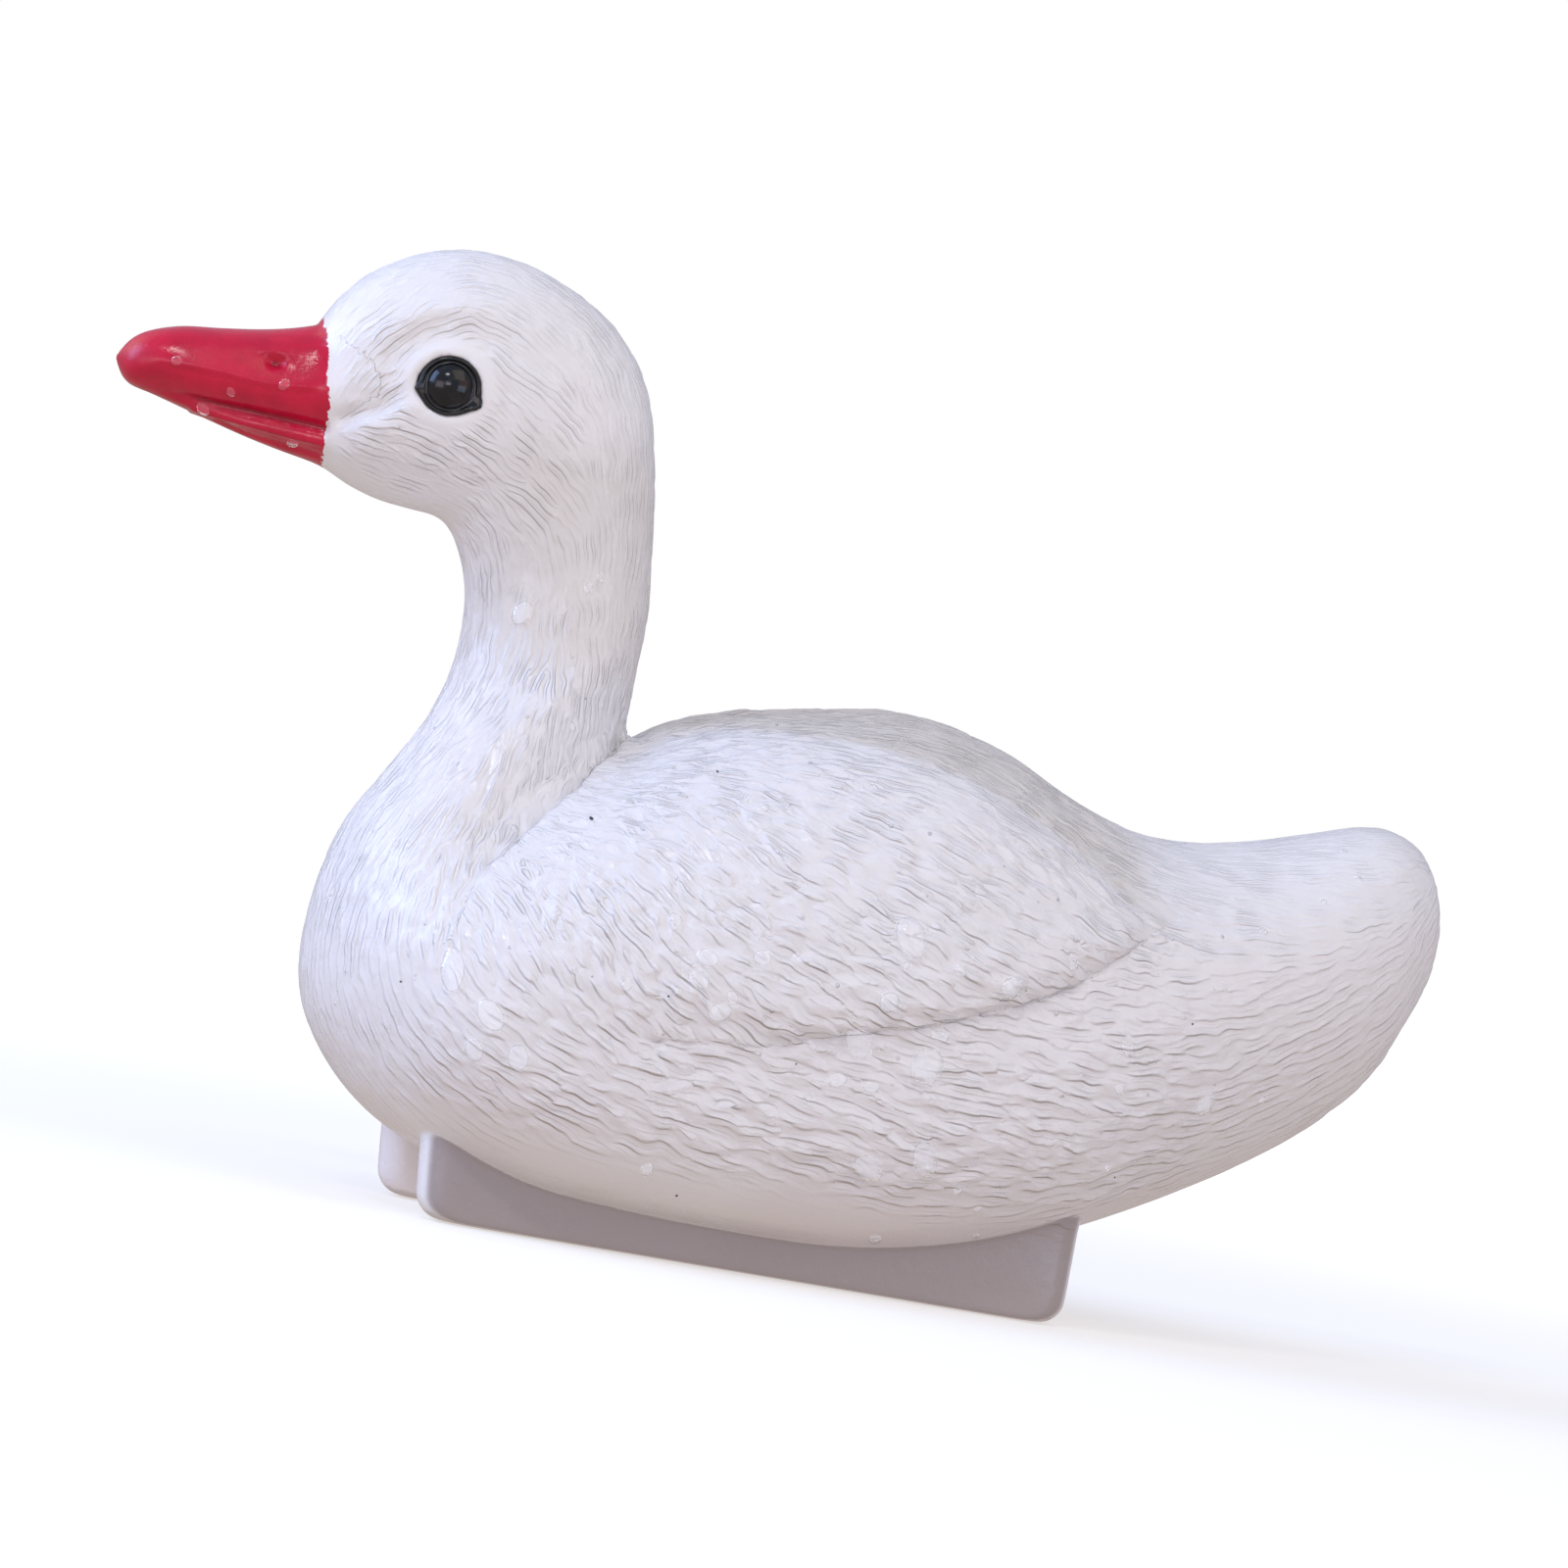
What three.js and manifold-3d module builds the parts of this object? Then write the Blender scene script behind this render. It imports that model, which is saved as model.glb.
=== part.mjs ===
// A small hollow-moulded swan decoy, standing on two runners under its belly.
// Millimetres, +Z up, the beak towards -X. The origin is on the ground, under the middle.
import * as THREE from 'three';
import { mergeVertices } from 'three/addons/utils/BufferGeometryUtils.js';
import Module from 'manifold-3d';

// Driving dimensions of the swan
const LENGTH = 240; // beak tip to tail end
const BODY_WIDTH = 98; // across the flanks, without the wings' swell
const NECK_WIDTH = 27;
const HEAD_WIDTH = 33.5;
const BEAK_WIDTH = 18; // at its root
const WING_SWELL = 3.2; // how far a folded wing stands proud of the flank
const BELLY_CLEARANCE = 4.6; // ground to the lowest point of the belly

// The two runners under the belly, in one with it
const RUNNER_LENGTH = 112;
const RUNNER_WIDTH = 11.5;
const RUNNER_SPACING = 46; // between the runners' middles
const RUNNER_MIDDLE = 4.2; // how far their middle lies behind the swan's middle
const RUNNER_REACH = 24; // how far they run up into the belly above its lowest point
const RUNNER_CORNER = 4.2; // radius of the lower corners, seen from the side
const RUNNER_NOSE = 5; // radius of the upright corners, seen from above
const RUNNER_EDGE = 0.8; // radius along the bottom edges
const RUNNER_RAKE = 2.6; // how far the front end leans back at the ground

// The eyes: black inserts in sockets of the head
const EYE_LENGTH = 10.6;
const EYE_HEIGHT = 10;
const EYE_CORNER = 0.13; // how far the front and rear corners draw out, as a share
const EYE_DOME = 7.4; // diameter of the shining dome
const EYE_RISE = 2.3; // the dome above the rim
const EYE_THICKNESS = 2.2; // the insert behind its rim
const EYE_SINK = 0.9; // the rim below the middle of the skin it sits in
const CLEARANCE = 0.3; // between an insert and its socket, all round

// How finely the skin is divided
const RIB_STEP = 4.4; // along the swan, from rib to rib
const HALF_SIDES = 22; // from the back line to the belly line

// Colours
const WHITE = new THREE.Color(0.9, 0.89, 0.92);
const BEAK_RED = new THREE.Color(0.6, 0.02, 0.07);
const BLACK = new THREE.Color(0.01, 0.01, 0.012);

// The swan's ribs, from the tail to the beak. A rib runs across the side view from the back line
// to the belly line, and both of its ends are in hundredths of LENGTH: from the beak tip, and up
// from the lowest point of the belly. Then come half its width, how far down its widest place is,
// and how full its upper and lower curves are: 2 is an ellipse, 1 is straight.
const B = BODY_WIDTH / 2;
const N = NECK_WIDTH / 2;
const H = HEAD_WIDTH / 2;
const K = BEAK_WIDTH / 2;
const RIBS = [
  { back: [100, 28.6], belly: [100, 28.6], half: 0, widest: 0.42, above: 2, below: 2 },
  { back: [99.2, 32.6], belly: [99.5, 24.9], half: B * 0.17, widest: 0.42, above: 2, below: 2 },
  { back: [97.6, 35.3], belly: [98.2, 21.7], half: B * 0.27, widest: 0.42, above: 2.1, below: 2 },
  { back: [94.8, 36.4], belly: [96.5, 18], half: B * 0.4, widest: 0.43, above: 2, below: 1.9 },
  { back: [89.7, 35], belly: [91.9, 13.3], half: B * 0.55, widest: 0.4, above: 1.9, below: 1.95 },
  { back: [84, 33.3], belly: [86.4, 9.5], half: B * 0.67, widest: 0.38, above: 1.8, below: 2.05 },
  { back: [78.2, 32.6], belly: [80.5, 6.3], half: B * 0.78, widest: 0.41, above: 1.85, below: 2.3 },
  { back: [72.4, 33.8], belly: [74.2, 3.6], half: B * 0.87, widest: 0.48, above: 1.9, below: 2.8 },
  { back: [65.4, 36.8], belly: [66.6, 1.3], half: B * 0.95, widest: 0.55, above: 1.95, below: 3.05 },
  { back: [58.2, 38], belly: [58.4, 0], half: B, widest: 0.57, above: 2, below: 3.2 },
  { back: [51.1, 36.8], belly: [50.4, 0], half: B, widest: 0.58, above: 2.05, below: 3.5 },
  { back: [45.6, 35.6], belly: [42.4, 0.2], half: B, widest: 0.58, above: 2, below: 3.4 },
  { back: [41.8, 34], belly: [34.8, 0.9], half: B * 0.98, widest: 0.58, above: 2, below: 3.1 },
  { back: [40, 32.7], belly: [26.2, 4.1], half: B * 0.92, widest: 0.6, above: 1.9, below: 2.5 },
  { back: [39.3, 33.3], belly: [20.7, 10.4], half: B * 0.75, widest: 0.66, above: 1.45, below: 2.1 },
  { back: [39.3, 34.7], belly: [20, 15], half: B * 0.63, widest: 0.68, above: 1.2, below: 2.1 },
  { back: [39.3, 36.4], belly: [20.4, 20], half: B * 0.51, widest: 0.66, above: 1.3, below: 2.1 },
  { back: [39.4, 38.1], belly: [21.5, 23.9], half: N * 1.45, widest: 0.62, above: 1.5, below: 2.1 },
  { back: [39.5, 40.2], belly: [23.1, 26.6], half: N * 1.25, widest: 0.57, above: 1.8, below: 2 },
  { back: [39.4, 42.2], belly: [24.6, 29.3], half: N * 1.12, widest: 0.53, above: 2, below: 2 },
  { back: [39.1, 44.3], belly: [26, 32.2], half: N * 1.03, widest: 0.5, above: 2, below: 2 },
  { back: [38.8, 46.7], belly: [26.7, 35.2], half: N, widest: 0.5, above: 2, below: 2 },
  { back: [38.5, 49], belly: [26.9, 37.9], half: N, widest: 0.5, above: 2, below: 2 },
  { back: [38, 51.4], belly: [26.5, 41], half: N * 1.05, widest: 0.5, above: 2, below: 2 },
  { back: [37.4, 54.1], belly: [25.6, 43.2], half: H * 0.9, widest: 0.5, above: 2.1, below: 2 },
  { back: [36.4, 56.8], belly: [24.6, 44.7], half: H * 0.95, widest: 0.5, above: 2.1, below: 2 },
  { back: [34.6, 59.5], belly: [23.5, 45.2], half: H * 0.98, widest: 0.5, above: 2.1, below: 1.9 },
  { back: [32.2, 61.3], belly: [22.4, 45.2], half: H, widest: 0.48, above: 2.1, below: 1.9 },
  { back: [28.8, 62.9], belly: [21.1, 45.3], half: H, widest: 0.46, above: 2.1, below: 1.9 },
  { back: [24.7, 63.8], belly: [19.7, 45.4], half: H * 0.98, widest: 0.46, above: 2.1, below: 1.9 },
  { back: [20.5, 63.3], belly: [18.4, 45.7], half: H * 0.91, widest: 0.48, above: 2.1, below: 1.9 },
  { back: [17, 61.5], belly: [17.2, 46.1], half: H * 0.8, widest: 0.5, above: 2.1, below: 2 },
  { back: [14.3, 59], belly: [16.3, 46.5], half: H * 0.67, widest: 0.52, above: 2.1, below: 2 },
  { back: [13.6, 56.8], belly: [15.5, 47], half: K * 1.06, widest: 0.52, above: 2.1, below: 1.9 },
  { back: [12.4, 56.2], belly: [13.9, 47.2], half: K, widest: 0.52, above: 2.1, below: 1.8 },
  { back: [9.9, 55.5], belly: [9.9, 47.9], half: K * 0.94, widest: 0.52, above: 2.1, below: 1.8 },
  { back: [6.5, 54.9], belly: [6.2, 48.8], half: K * 0.86, widest: 0.52, above: 2.1, below: 1.9 },
  { back: [3.8, 54.5], belly: [3, 49.6], half: K * 0.75, widest: 0.53, above: 2.1, below: 2 },
  { back: [1.1, 53.3], belly: [1, 50.1], half: K * 0.5, widest: 0.55, above: 2, below: 2 },
  { back: [0, 51.6], belly: [0, 51.6], half: 0, widest: 0.5, above: 2, below: 2 },
];

// The foot of the neck, where it stands in front of the shoulders: at each rib by its number,
// how far down the rib the neck reaches, and half its width there
const NECK_FOOT = [
  { rib: 13.2, depth: 0.2, half: 0 },
  { rib: 14, depth: 0.42, half: N },
  { rib: 15, depth: 0.52, half: N * 1.04 },
  { rib: 16, depth: 0.64, half: N * 1.04 },
  { rib: 17, depth: 0.78, half: N },
  { rib: 18, depth: 0.9, half: N * 0.8 },
  { rib: 19, depth: 1, half: 0 },
];

// A folded wing: its upper and lower edge at each rib, as how far down the rib they are, and how
// much of WING_SWELL it has there. It comes to a point behind and melts into the breast in front.
const WING = [
  { rib: 6.2, top: 0.25, bottom: 0.255, swell: 0 },
  { rib: 6.7, top: 0.218, bottom: 0.3, swell: 0.5 },
  { rib: 7.2, top: 0.185, bottom: 0.365, swell: 0.9 },
  { rib: 8, top: 0.142, bottom: 0.476, swell: 1 },
  { rib: 9, top: 0.1, bottom: 0.56, swell: 1 },
  { rib: 10, top: 0.056, bottom: 0.6, swell: 0.95 },
  { rib: 11, top: 0.037, bottom: 0.61, swell: 0.6 },
  { rib: 12, top: 0.034, bottom: 0.6, swell: 0.2 },
  { rib: 13, top: 0.03, bottom: 0.6, swell: 0 },
];
const WING_UPPER_EDGE = 14; // breadth of the slope along a wing's upper edge, on the skin
const WING_LOWER_EDGE = 8; // breadth of the slope under its lower edge
const WING_GROOVE = 0.8; // depth of the groove that runs along both edges

// Lines modelled into the head and beak, as seen from the side in hundredths of LENGTH, with
// their depth into the skin, or their height where it is negative, and their breadth
const LINES = [
  // the mouth, the ridge of the lower beak, the edge of the upper beak and the nostril
  { depth: 0.9, breadth: 1.4, path: [[2.9, 50], [6.8, 49.6], [11.3, 49.6], [15.3, 49.7]] },
  { depth: -0.4, breadth: 0.9, path: [[3.8, 49.3], [8.9, 48.8], [15.1, 48.5]] },
  { depth: -0.4, breadth: 1.5, path: [[4.8, 51.7], [9.8, 51.2], [14.3, 51.6]] },
  { depth: 0.8, breadth: 1.1, path: [[9.7, 53], [11.5, 53.2]] },
  // the crease in front of the cheek, the cheek, the hollow under the brow and the brow
  { depth: 0.9, breadth: 1.8, path: [[15.5, 49.4], [16.7, 51.2], [19.1, 53]] },
  { depth: -0.8, breadth: 3.2, path: [[16.5, 48.6], [19.8, 50.4], [23.8, 50.4]] },
  { depth: 0.7, breadth: 2.4, path: [[17.7, 52.8], [19.1, 55.6], [21.3, 57.2], [24.3, 57]] },
  { depth: -0.7, breadth: 2.6, path: [[16.5, 56.2], [19.4, 59], [24.1, 59.8], [27.3, 58.6]] },
];

// The eye's middle and the paint's edge at the beak's root, in hundredths of LENGTH as above
const EYE_AT = [22, 53.6];
const PAINT_EDGE = { top: [13.4, 56.4], bottom: [15.5, 46.8] };

const clamp = (t) => Math.min(Math.max(t, 0), 1);
const rise = (t) => clamp(t) ** 2 * (3 - 2 * clamp(t));
const bump = (t) => Math.exp(-t * t);
const place = ([x, z]) => new THREE.Vector2(
  (x / 100 - 0.5) * LENGTH, (z / 100) * LENGTH + BELLY_CLEARANCE);

// A value that changes smoothly from row to row and never swings past them
function along(rows, key, at) {
  const n = rows.length;
  const slope = (i) => (rows[i + 1][key] - rows[i][key]) / (rows[i + 1].rib - rows[i].rib);
  const tangent = (i) => {
    if (i === 0 || i === n - 1) return 0;
    const [a, b] = [slope(i - 1), slope(i)];
    return a * b > 0 ? (2 * a * b) / (a + b) : 0;
  };
  if (at <= rows[0].rib) return rows[0][key];
  if (at >= rows[n - 1].rib) return rows[n - 1][key];
  const i = rows.findIndex((row, k) => k < n - 1 && at <= rows[k + 1].rib);
  const gap = rows[i + 1].rib - rows[i].rib;
  const t = (at - rows[i].rib) / gap;
  return (1 + 2 * t) * (1 - t) ** 2 * rows[i][key] + t * t * (3 - 2 * t) * rows[i + 1][key]
    + gap * t * (1 - t) * ((1 - t) * tangent(i) - t * tangent(i + 1));
}

// The back line and the belly line, each a smooth curve through the ribs' ends
const NUMBERED = RIBS.map((row, rib) => ({ ...row, rib }));
const lineThrough = (end) => new THREE.CatmullRomCurve3(
  RIBS.map((row) => new THREE.Vector3(place(row[end]).x, 0, place(row[end]).y)), false, 'centripetal');
const BACK_LINE = lineThrough('back');
const BELLY_LINE = lineThrough('belly');
const onLine = (line, at) => {
  const p = line.getPoint(at / (RIBS.length - 1));
  return new THREE.Vector2(p.x, p.z);
};

// Half the width of the section at rib number `at`, a share `down` of the way to the belly
function halfWidth(at, down) {
  const part = (depth, half, widest, above, below) => {
    if (half <= 0 || down >= depth) return 0;
    const d = down / depth;
    const [out, full] = d < widest ? [(widest - d) / widest, above] : [(d - widest) / (1 - widest), below];
    return half * (1 - out ** full) ** (1 / full);
  };
  const body = part(1, along(NUMBERED, 'half', at), along(NUMBERED, 'widest', at),
    along(NUMBERED, 'above', at), along(NUMBERED, 'below', at));
  const foot = part(along(NECK_FOOT, 'depth', at), along(NECK_FOOT, 'half', at), 0.5, 2, 2);
  return (body ** 3 + foot ** 3) ** (1 / 3);
}

const lineDistance = (p, path) => {
  let best = Infinity;
  for (let i = 1; i < path.length; i++) {
    const [a, b] = [place(path[i - 1]), place(path[i])];
    const span = b.clone().sub(a);
    const t = clamp(p.clone().sub(a).dot(span) / span.lengthSq());
    best = Math.min(best, p.distanceTo(a.addScaledVector(span, t)));
  }
  return best;
};

// How far along a side of length `whole` its point number j lies: evenly spaced on the neck and
// tail, and with two steps across the slope under the wing's lower edge where `hold` is 1
function spread(j, whole, edge, hold) {
  const share = Math.round(HALF_SIDES / 2) - 1;
  const middle = whole * (share + 1) / HALF_SIDES * (1 - hold) + edge * hold;
  const slope = (whole / HALF_SIDES) * (1 - hold) + (WING_LOWER_EDGE / 2) * hold;
  if (j <= share) return ((middle - slope) * j) / share;
  if (j <= share + 2) return middle + slope * (j - share - 1);
  return middle + slope + (whole - middle - slope) * ((j - share - 2) / (HALF_SIDES - share - 2));
}

// The side of the section at rib number `at`, from the back to the belly: points with their place
// in the side view and their distance from the middle plane
function side(at) {
  const top = onLine(BACK_LINE, at);
  const span = onLine(BELLY_LINE, at).sub(top);
  const depth = span.length();
  const steps = 160;
  const bare = [];
  for (let i = 0; i <= steps; i++) {
    const down = (1 - Math.cos((Math.PI * i) / steps)) / 2;
    bare.push(new THREE.Vector2(down * depth, halfWidth(at, down)));
  }
  const run = [0];
  for (let i = 1; i <= steps; i++) run.push(run[i - 1] + bare[i].distanceTo(bare[i - 1]));
  const stepAt = (down) => Math.round((Math.acos(1 - 2 * down) / Math.PI) * steps);

  const swell = along(WING, 'swell', at) * WING_SWELL;
  const edges = [along(WING, 'top', at), along(WING, 'bottom', at)].map((down) => run[stepAt(down)]);
  const steepest = stepAt(along(WING, 'bottom', at));
  const hold = rise((at - 2) / 3.5) * rise((19 - at) / 6);
  const raised = bare.map((p, i) => {
    const before = bare[Math.max(i - 1, 0)];
    const after = bare[Math.min(i + 1, steps)];
    const normal = new THREE.Vector2(before.y - after.y, after.x - before.x).normalize();
    const spot = top.clone().addScaledVector(span, p.x / depth);
    let lift = 0;
    if (swell > 0) {
      const [above, below] = [run[i] - edges[0], edges[1] - run[i]];
      const groove = 0.5 * bump((above + 3) / 4) + bump((below + 2) / 3);
      lift += swell * rise(above / WING_UPPER_EDGE + 0.5) * rise(below / WING_LOWER_EDGE + 0.5)
        - WING_GROOVE * (swell / WING_SWELL) * groove * rise(run[i] / WING_UPPER_EDGE);
    }
    for (const line of LINES) {
      const away = lineDistance(spot, line.path) / line.breadth;
      if (away < 3) lift -= line.depth * bump(away) * rise(normal.y);
    }
    return i === 0 || i === steps ? p : p.clone().addScaledVector(normal, lift);
  });

  const reach = [0];
  for (let i = 1; i <= steps; i++) reach.push(reach[i - 1] + raised[i].distanceTo(raised[i - 1]));
  const points = [];
  for (let j = 0; j <= HALF_SIDES; j++) {
    const want = spread(j, reach[steps], reach[steepest], hold);
    const i = Math.max(reach.findIndex((r) => r >= want - 1e-9), 1);
    const t = (want - reach[i - 1]) / (reach[i] - reach[i - 1] || 1);
    const p = raised[i - 1].clone().lerp(raised[i], t);
    const spot = top.clone().addScaledVector(span, p.x / depth);
    points.push({ x: spot.x, z: spot.y, out: j === 0 || j === HALF_SIDES ? 0 : p.y });
  }
  return points;
}

// A closed skin over rings of equally many points, drawn together to a point at both ends
function closedSkin(rings, first, last) {
  const around = rings[0].length;
  const points = [first, ...rings.flat(), last];
  const end = points.length - 1;
  const index = [];
  const vertex = (r, j) => 1 + r * around + (j % around);
  for (let j = 0; j < around; j++) {
    index.push(0, vertex(0, j + 1), vertex(0, j));
    for (let r = 0; r + 1 < rings.length; r++) {
      index.push(vertex(r, j), vertex(r, j + 1), vertex(r + 1, j + 1));
      index.push(vertex(r, j), vertex(r + 1, j + 1), vertex(r + 1, j));
    }
    index.push(end, vertex(rings.length - 1, j), vertex(rings.length - 1, j + 1));
  }
  const volume = index.reduce((sum, a, i) => (i % 3 ? sum
    : sum + points[a].dot(points[index[i + 1]].clone().cross(points[index[i + 2]]))), 0);
  if (volume < 0) index.reverse();
  const geometry = new THREE.BufferGeometry().setFromPoints(points);
  geometry.setIndex(index);
  return geometry;
}

// Rib numbers spaced by about RIB_STEP along the swan, as the mean of both of the ribs' ends
function ribNumbers() {
  const fine = 40 * (RIBS.length - 1);
  const run = [0];
  for (let i = 1; i <= fine; i++) {
    const [a, b] = [(i - 1) / 40, i / 40];
    const step = [BACK_LINE, BELLY_LINE].map((line) => onLine(line, a).distanceTo(onLine(line, b)));
    const nearEnd = bump(a / 1.5) + bump((RIBS.length - 1 - a) / 2.5);
    run.push(run[i - 1] + ((step[0] + step[1]) / 2) * (1 + 1.6 * nearEnd));
  }
  const count = Math.round(run[fine] / RIB_STEP);
  const numbers = [];
  for (let k = 1; k < count; k++) {
    const want = (run[fine] * k) / count;
    numbers.push(run.findIndex((r) => r >= want) / 40);
  }
  return numbers;
}

function swanSkin() {
  const rings = ribNumbers().map((at) => {
    const left = side(at);
    const down = left.map((p) => new THREE.Vector3(p.x, -p.out, p.z));
    const up = left.slice(1, -1).reverse().map((p) => new THREE.Vector3(p.x, p.out, p.z));
    return [...down, ...up];
  });
  const end = (line, t) => line.getPoint(t);
  return closedSkin(rings, end(BACK_LINE, 0), end(BACK_LINE, 1));
}

// A runner: upright corners rounded, lower corners rounded off to the flat underside
function runner(y) {
  const top = BELLY_CLEARANCE + RUNNER_REACH;
  const levels = [];
  for (let i = 0; i <= 6; i++) levels.push(RUNNER_CORNER * (1 - Math.cos((Math.PI * i) / 12)));
  levels.push(top);
  const quarter = (radius, z) => radius - Math.sqrt(radius ** 2 - (radius - Math.min(z, radius)) ** 2);
  const ring = (z) => {
    const rake = RUNNER_RAKE * (1 - z / top);
    const cut = quarter(RUNNER_CORNER, z);
    const front = RUNNER_MIDDLE - RUNNER_LENGTH / 2 + rake + cut;
    const rear = RUNNER_MIDDLE + RUNNER_LENGTH / 2 - cut;
    const half = RUNNER_WIDTH / 2 - quarter(RUNNER_EDGE, z);
    const nose = Math.min(RUNNER_NOSE, half);
    const outline = [];
    for (const [cx, cy, start] of [[rear - nose, half - nose, 0], [front + nose, half - nose, 90],
      [front + nose, nose - half, 180], [rear - nose, nose - half, 270]]) {
      for (let i = 0; i <= 5; i++) {
        const angle = THREE.MathUtils.degToRad(start + i * 18);
        outline.push(new THREE.Vector3(cx + nose * Math.cos(angle), y + cy + nose * Math.sin(angle), z));
      }
    }
    return outline;
  };
  return closedSkin(levels.map(ring), new THREE.Vector3(RUNNER_MIDDLE, y, 0),
    new THREE.Vector3(RUNNER_MIDDLE, y, top));
}

// The eye's outline, `grown` outwards: an ellipse with its front and rear corners drawn out. The
// front of the head is at `front` times +X.
function eyeOutline(grown, front, height) {
  const ring = [];
  for (let i = 0; i < 28; i++) {
    const angle = (2 * Math.PI * i) / 28;
    const from = (degrees) => {
      const turn = angle - THREE.MathUtils.degToRad(degrees);
      return Math.atan2(Math.sin(turn), Math.cos(turn));
    };
    const drawn = 1 + EYE_CORNER * (0.4 * bump(from(185) / 0.35) + bump(from(-26) / 0.3));
    ring.push(new THREE.Vector3(
      -front * Math.cos(angle) * (EYE_LENGTH / 2 * drawn + grown),
      Math.sin(angle) * (EYE_HEIGHT / 2 * drawn + grown), height));
  }
  return ring;
}

// An eye insert looking along +Z: a flat back, a rim in the eye's outline and a round dome
function eye(front) {
  const back = -EYE_SINK - EYE_THICKNESS;
  const rings = [eyeOutline(0, front, back), eyeOutline(0, front, -EYE_SINK),
    eyeOutline(-0.5, front, -EYE_SINK + 0.25)];
  const radius = EYE_DOME / 2;
  const ball = (radius ** 2 + EYE_RISE ** 2) / (2 * EYE_RISE);
  for (const share of [1, 0.8, 0.55, 0.28]) {
    const r = radius * share;
    const height = EYE_RISE - (ball - Math.sqrt(ball ** 2 - r ** 2));
    rings.push(eyeOutline(0, front, 0).map((p) => new THREE.Vector3(p.x, p.y, 0).normalize()
      .multiplyScalar(r).setZ(height - EYE_SINK)));
  }
  return closedSkin(rings, new THREE.Vector3(0, 0, back), new THREE.Vector3(0, 0, EYE_RISE - EYE_SINK));
}

function socket(front) {
  const floor = -EYE_SINK - EYE_THICKNESS - CLEARANCE;
  const open = EYE_RISE + 2;
  return closedSkin([eyeOutline(CLEARANCE, front, floor), eyeOutline(CLEARANCE, front, open)],
    new THREE.Vector3(0, 0, floor), new THREE.Vector3(0, 0, open));
}

// Where the eye's middle meets the left side of the skin, and the way the skin faces there
function eyeSeat(skin) {
  const at = place(EYE_AT);
  const points = skin.getAttribute('position');
  const index = skin.getIndex().array;
  const ray = new THREE.Ray(new THREE.Vector3(at.x, -BODY_WIDTH, at.y), new THREE.Vector3(0, 1, 0));
  const facing = new THREE.Vector3();
  const hit = new THREE.Vector3();
  const seat = new THREE.Vector3();
  for (let i = 0; i < index.length; i += 3) {
    const corners = [0, 1, 2].map((k) => new THREE.Vector3().fromBufferAttribute(points, index[i + k]));
    if (ray.intersectTriangle(...corners, true, hit)) seat.copy(hit);
    const middle = corners[0].clone().add(corners[1]).add(corners[2]).divideScalar(3);
    if (middle.y < 0 && Math.hypot(middle.x - at.x, middle.z - at.y) < EYE_LENGTH * 0.7) {
      facing.add(corners[1].sub(corners[0]).cross(corners[2].sub(corners[0])));
    }
  }
  return { seat, facing: facing.normalize() };
}

// Joining and cutting
const wasm = await Module();
wasm.setup();

function solid(geometry) {
  const bare = geometry.clone();
  bare.deleteAttribute('normal');
  bare.deleteAttribute('uv');
  const merged = mergeVertices(bare, 1e-4);
  return new wasm.Manifold(new wasm.Mesh({
    numProp: 3,
    vertProperties: Float32Array.from(merged.getAttribute('position').array),
    triVerts: Uint32Array.from(merged.getIndex().array),
  }));
}

function fromSolid(form) {
  const mesh = form.getMesh();
  const geometry = new THREE.BufferGeometry();
  geometry.setAttribute('position', new THREE.BufferAttribute(Float32Array.from(mesh.vertProperties), 3));
  geometry.setIndex(new THREE.BufferAttribute(Uint32Array.from(mesh.triVerts), 1));
  return geometry;
}

// Red in front of the paint's edge at the beak's root, and white behind it
function paint(geometry) {
  const points = geometry.getAttribute('position');
  const [top, bottom] = [place(PAINT_EDGE.top), place(PAINT_EDGE.bottom)];
  const colours = [];
  for (let i = 0; i < points.count; i++) {
    const edge = top.x + (bottom.x - top.x) * ((points.getZ(i) - top.y) / (bottom.y - top.y));
    const beak = points.getZ(i) > bottom.y - 2 && points.getX(i) < edge;
    colours.push(...(beak ? BEAK_RED : WHITE).toArray());
  }
  geometry.setAttribute('color', new THREE.Float32BufferAttribute(colours, 3));
}

function named(name, geometry, material) {
  geometry.computeVertexNormals();
  const mesh = new THREE.Mesh(geometry, material);
  mesh.name = name;
  return mesh;
}

const skin = swanSkin();
const { seat, facing } = eyeSeat(skin);
const eyes = [{ name: 'left_eye', hand: 1 }, { name: 'right_eye', hand: -1 }].map(({ name, hand }) => {
  const group = new THREE.Group();
  group.position.set(seat.x, hand * seat.y, seat.z);
  const outward = new THREE.Vector3(facing.x, hand * facing.y, facing.z);
  const level = new THREE.Vector3(0, 0, 1).cross(outward).normalize();
  const upright = outward.clone().cross(level);
  group.quaternion.setFromRotationMatrix(new THREE.Matrix4().makeBasis(level, upright, outward));
  group.updateMatrixWorld();
  return { name, group, front: -hand };
});

let body = solid(skin);
for (const hand of [-1, 1]) body = body.add(solid(runner((hand * RUNNER_SPACING) / 2)));
for (const { group, front } of eyes) {
  body = body.subtract(solid(socket(front).applyMatrix4(group.matrixWorld)));
}

const swan = new THREE.Group();
const bodyGeometry = fromSolid(body);
paint(bodyGeometry);
swan.add(named('swan_body', bodyGeometry,
  new THREE.MeshStandardMaterial({ color: 0xffffff, vertexColors: true, roughness: 0.3, metalness: 0 })));
for (const { name, group, front } of eyes) {
  group.add(named(name, eye(front),
    new THREE.MeshStandardMaterial({ color: BLACK, roughness: 0.1, metalness: 0 })));
  swan.add(group);
}

export default swan;
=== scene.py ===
import logging
import math
from collections.abc import Callable, Sequence
from dataclasses import dataclass, field
from enum import Enum

import bpy
import numpy as np
from mathutils import Matrix, Vector
from mathutils.bvhtree import BVHTree
from mathutils.kdtree import KDTree


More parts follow.
